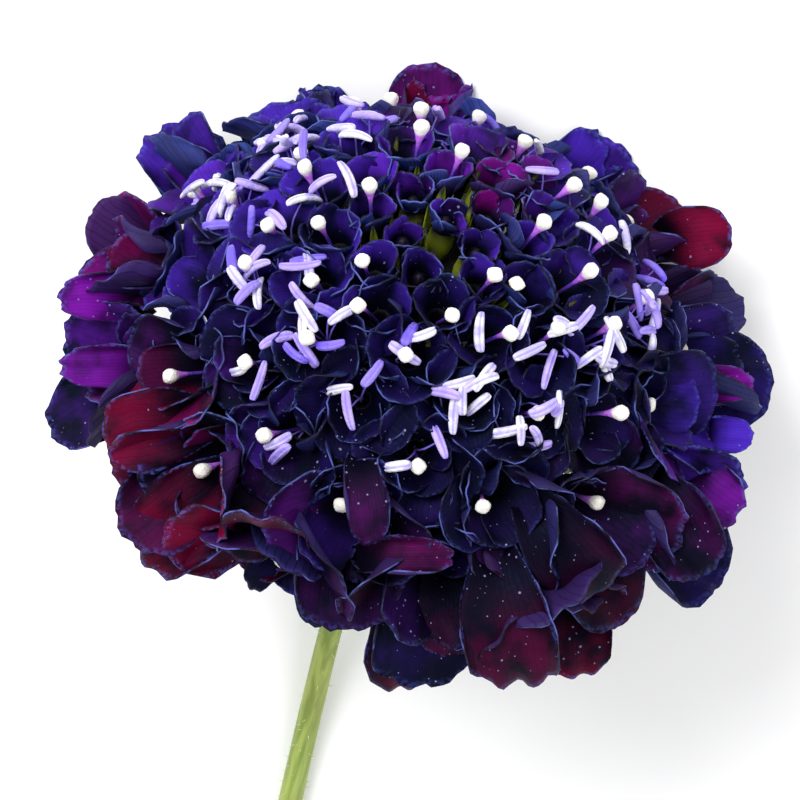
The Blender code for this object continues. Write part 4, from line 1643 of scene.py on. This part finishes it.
def stem_frame(along):
    """A frame on the stem's line, with +Z along it towards the cut."""
    here = stem_point(along)
    ahead = (stem_point(along + MM) - stem_point(along - MM)).normalized()
    side = ahead.cross(Vector((0, 0, 1))).normalized()
    return Matrix.Translation(here) @ Matrix((side, ahead.cross(side), ahead)).transposed().to_4x4()


def stem_skin():
    """Yellow-green, streaked along the stem."""
    finish = Finish("stem_skin")
    lengthwise = finish.node("Mapping", inputs={"Vector": finish.place(), "Scale": (1.0, 0.06, 1.0)})
    streaks = finish.noise(1800.0, place=lengthwise)
    patches = finish.noise(120.0)
    colour = finish.mix(streaks.between(0.3, 0.7), rgb(108, 130, 52), rgb(154, 170, 84))
    colour = finish.mix(patches.between(0.45, 0.75) * 0.35, colour, rgb(128, 120, 62))
    return finish.surface({
        "Base Color": colour,
        "Roughness": 0.42 + streaks * 0.2,
        "Normal": finish.bump(streaks, 0.1 * MM, 0.5),
        "Sheen Weight": 0.15,
        "Sheen Tint": rgb(240, 245, 210),
    })


def cut_pith():
    """The pale cells of the cut end."""
    finish = Finish("cut_pith")
    cells = finish.node("TexVoronoi", inputs={"Vector": finish.place(), "Scale": 4200.0})
    colour = finish.mix(cells, rgb(206, 214, 150), rgb(160, 176, 100))
    return finish.surface({
        "Base Color": colour,
        "Roughness": 0.6 + cells * 0.2,
        "Normal": finish.bump(cells, 0.1 * MM, 0.6),
    })


def add_stem():
    """The ribbed stem from the whorl's neck to the slanting cut."""
    gathered = bmesh.new()
    bmesh.ops.create_cone(
        gathered, cap_ends=True, segments=STEM_SIDES, radius1=1.0, radius2=1.0, depth=1.0,
    )
    upright = [edge for edge in gathered.edges if abs(edge.verts[0].co.z - edge.verts[1].co.z) > 0.5]
    bmesh.ops.subdivide_edges(gathered, edges=upright, cuts=STEM_RINGS - 1, use_grid_fill=True)
    for vertex in gathered.verts:
        along = (vertex.co.z + 0.5) * STEM_LENGTH
        turn = math.atan2(vertex.co.y, vertex.co.x)
        rib = 1.0 - RIB_DEPTH * (0.5 - 0.5 * math.cos(RIBS * turn)) * (0.6 + 0.4 * math.sin(90 * along))
        radius = stem_radius(along) * rib * math.hypot(vertex.co.x, vertex.co.y)
        local = Vector((radius * math.cos(turn), radius * math.sin(turn), 0))
        vertex.co = stem_frame(along) @ local
        vertex.co.z = max(vertex.co.z, 0.0)
    whole = list(gathered.verts) + list(gathered.edges) + list(gathered.faces)
    bmesh.ops.bisect_plane(
        gathered, geom=whole, plane_co=stem_point(STEM_LENGTH) + Vector((0, CUT_BACK, 0)),
        plane_no=(0, -math.cos(CUT_SLANT), math.sin(CUT_SLANT)), clear_outer=True,
    )
    rim = [edge for edge in gathered.edges if edge.is_boundary]
    cap = bmesh.ops.holes_fill(gathered, edges=rim, sides=0)["faces"]
    bmesh.ops.inset_region(gathered, faces=cap, thickness=PITH_INSET, depth=PITH_SUNK)
    for face in cap:
        face.material_index = 1
    finish_piece(gathered, "stem_skin", [stem_skin(), cut_pith()], "stem")


add_stem()

# %% [markdown]
# Fine hairs stand out of the real stem and catch the light along its edges. Hundreds of them have to stay
# light, so each is a spike of three faces that is rooted just under the skin.

# %% The stem's hairs
HAIRS = 420
HAIR_LENGTH = (0.35 * MM, 0.8 * MM)
HAIR_RADIUS = 0.045 * MM
HAIR_SEAT = 0.93
HAIR_TILT = 0.5
LAST_HAIR = 0.97
HAIR_SEED = 7
HAIR_CLEARANCE = 0.02 * MM


def add_hairs():
    """Fine spikes all round the stem, but for those that would reach into the surface."""
    gathered = bmesh.new()
    chance = random.Random(HAIR_SEED)
    for _ in range(HAIRS):
        along = chance.uniform(0.0, LAST_HAIR) * STEM_LENGTH
        turn = chance.uniform(0, 2 * math.pi)
        length = chance.uniform(*HAIR_LENGTH)
        tilt = math.pi / 2 + chance.uniform(-HAIR_TILT, HAIR_TILT)
        root = Matrix.Translation((stem_radius(along) * HAIR_SEAT, 0, 0))
        spike = root @ Matrix.Rotation(tilt, 4, "Y") @ Matrix.Translation((0, 0, length / 2))
        place = stem_frame(along) @ Matrix.Rotation(turn, 4, "Z") @ spike
        if (place @ Vector((0, 0, length / 2))).z > HAIR_CLEARANCE:
            bmesh.ops.create_cone(
                gathered, cap_ends=False, segments=3, radius1=HAIR_RADIUS, radius2=0.0, depth=length,
                matrix=place,
            )
    pale = green_skin("hair_pale", rgb(190, 196, 140), rgb(226, 230, 190))
    finish_piece(gathered, "stem_hairs", [pale], "stem")


add_hairs()

# %% [markdown]
# The last step compares the finished flower's box with the solids' box, and prints how far each corner
# is off.

# %% Sizes compared with the solids
visual_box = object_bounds()
for solid_corner, visual_corner in zip(cad_box, visual_box):
    off = [round((new - old) / MM, 2) for old, new in zip(solid_corner, visual_corner)]
    print(off, "mm off the solids")
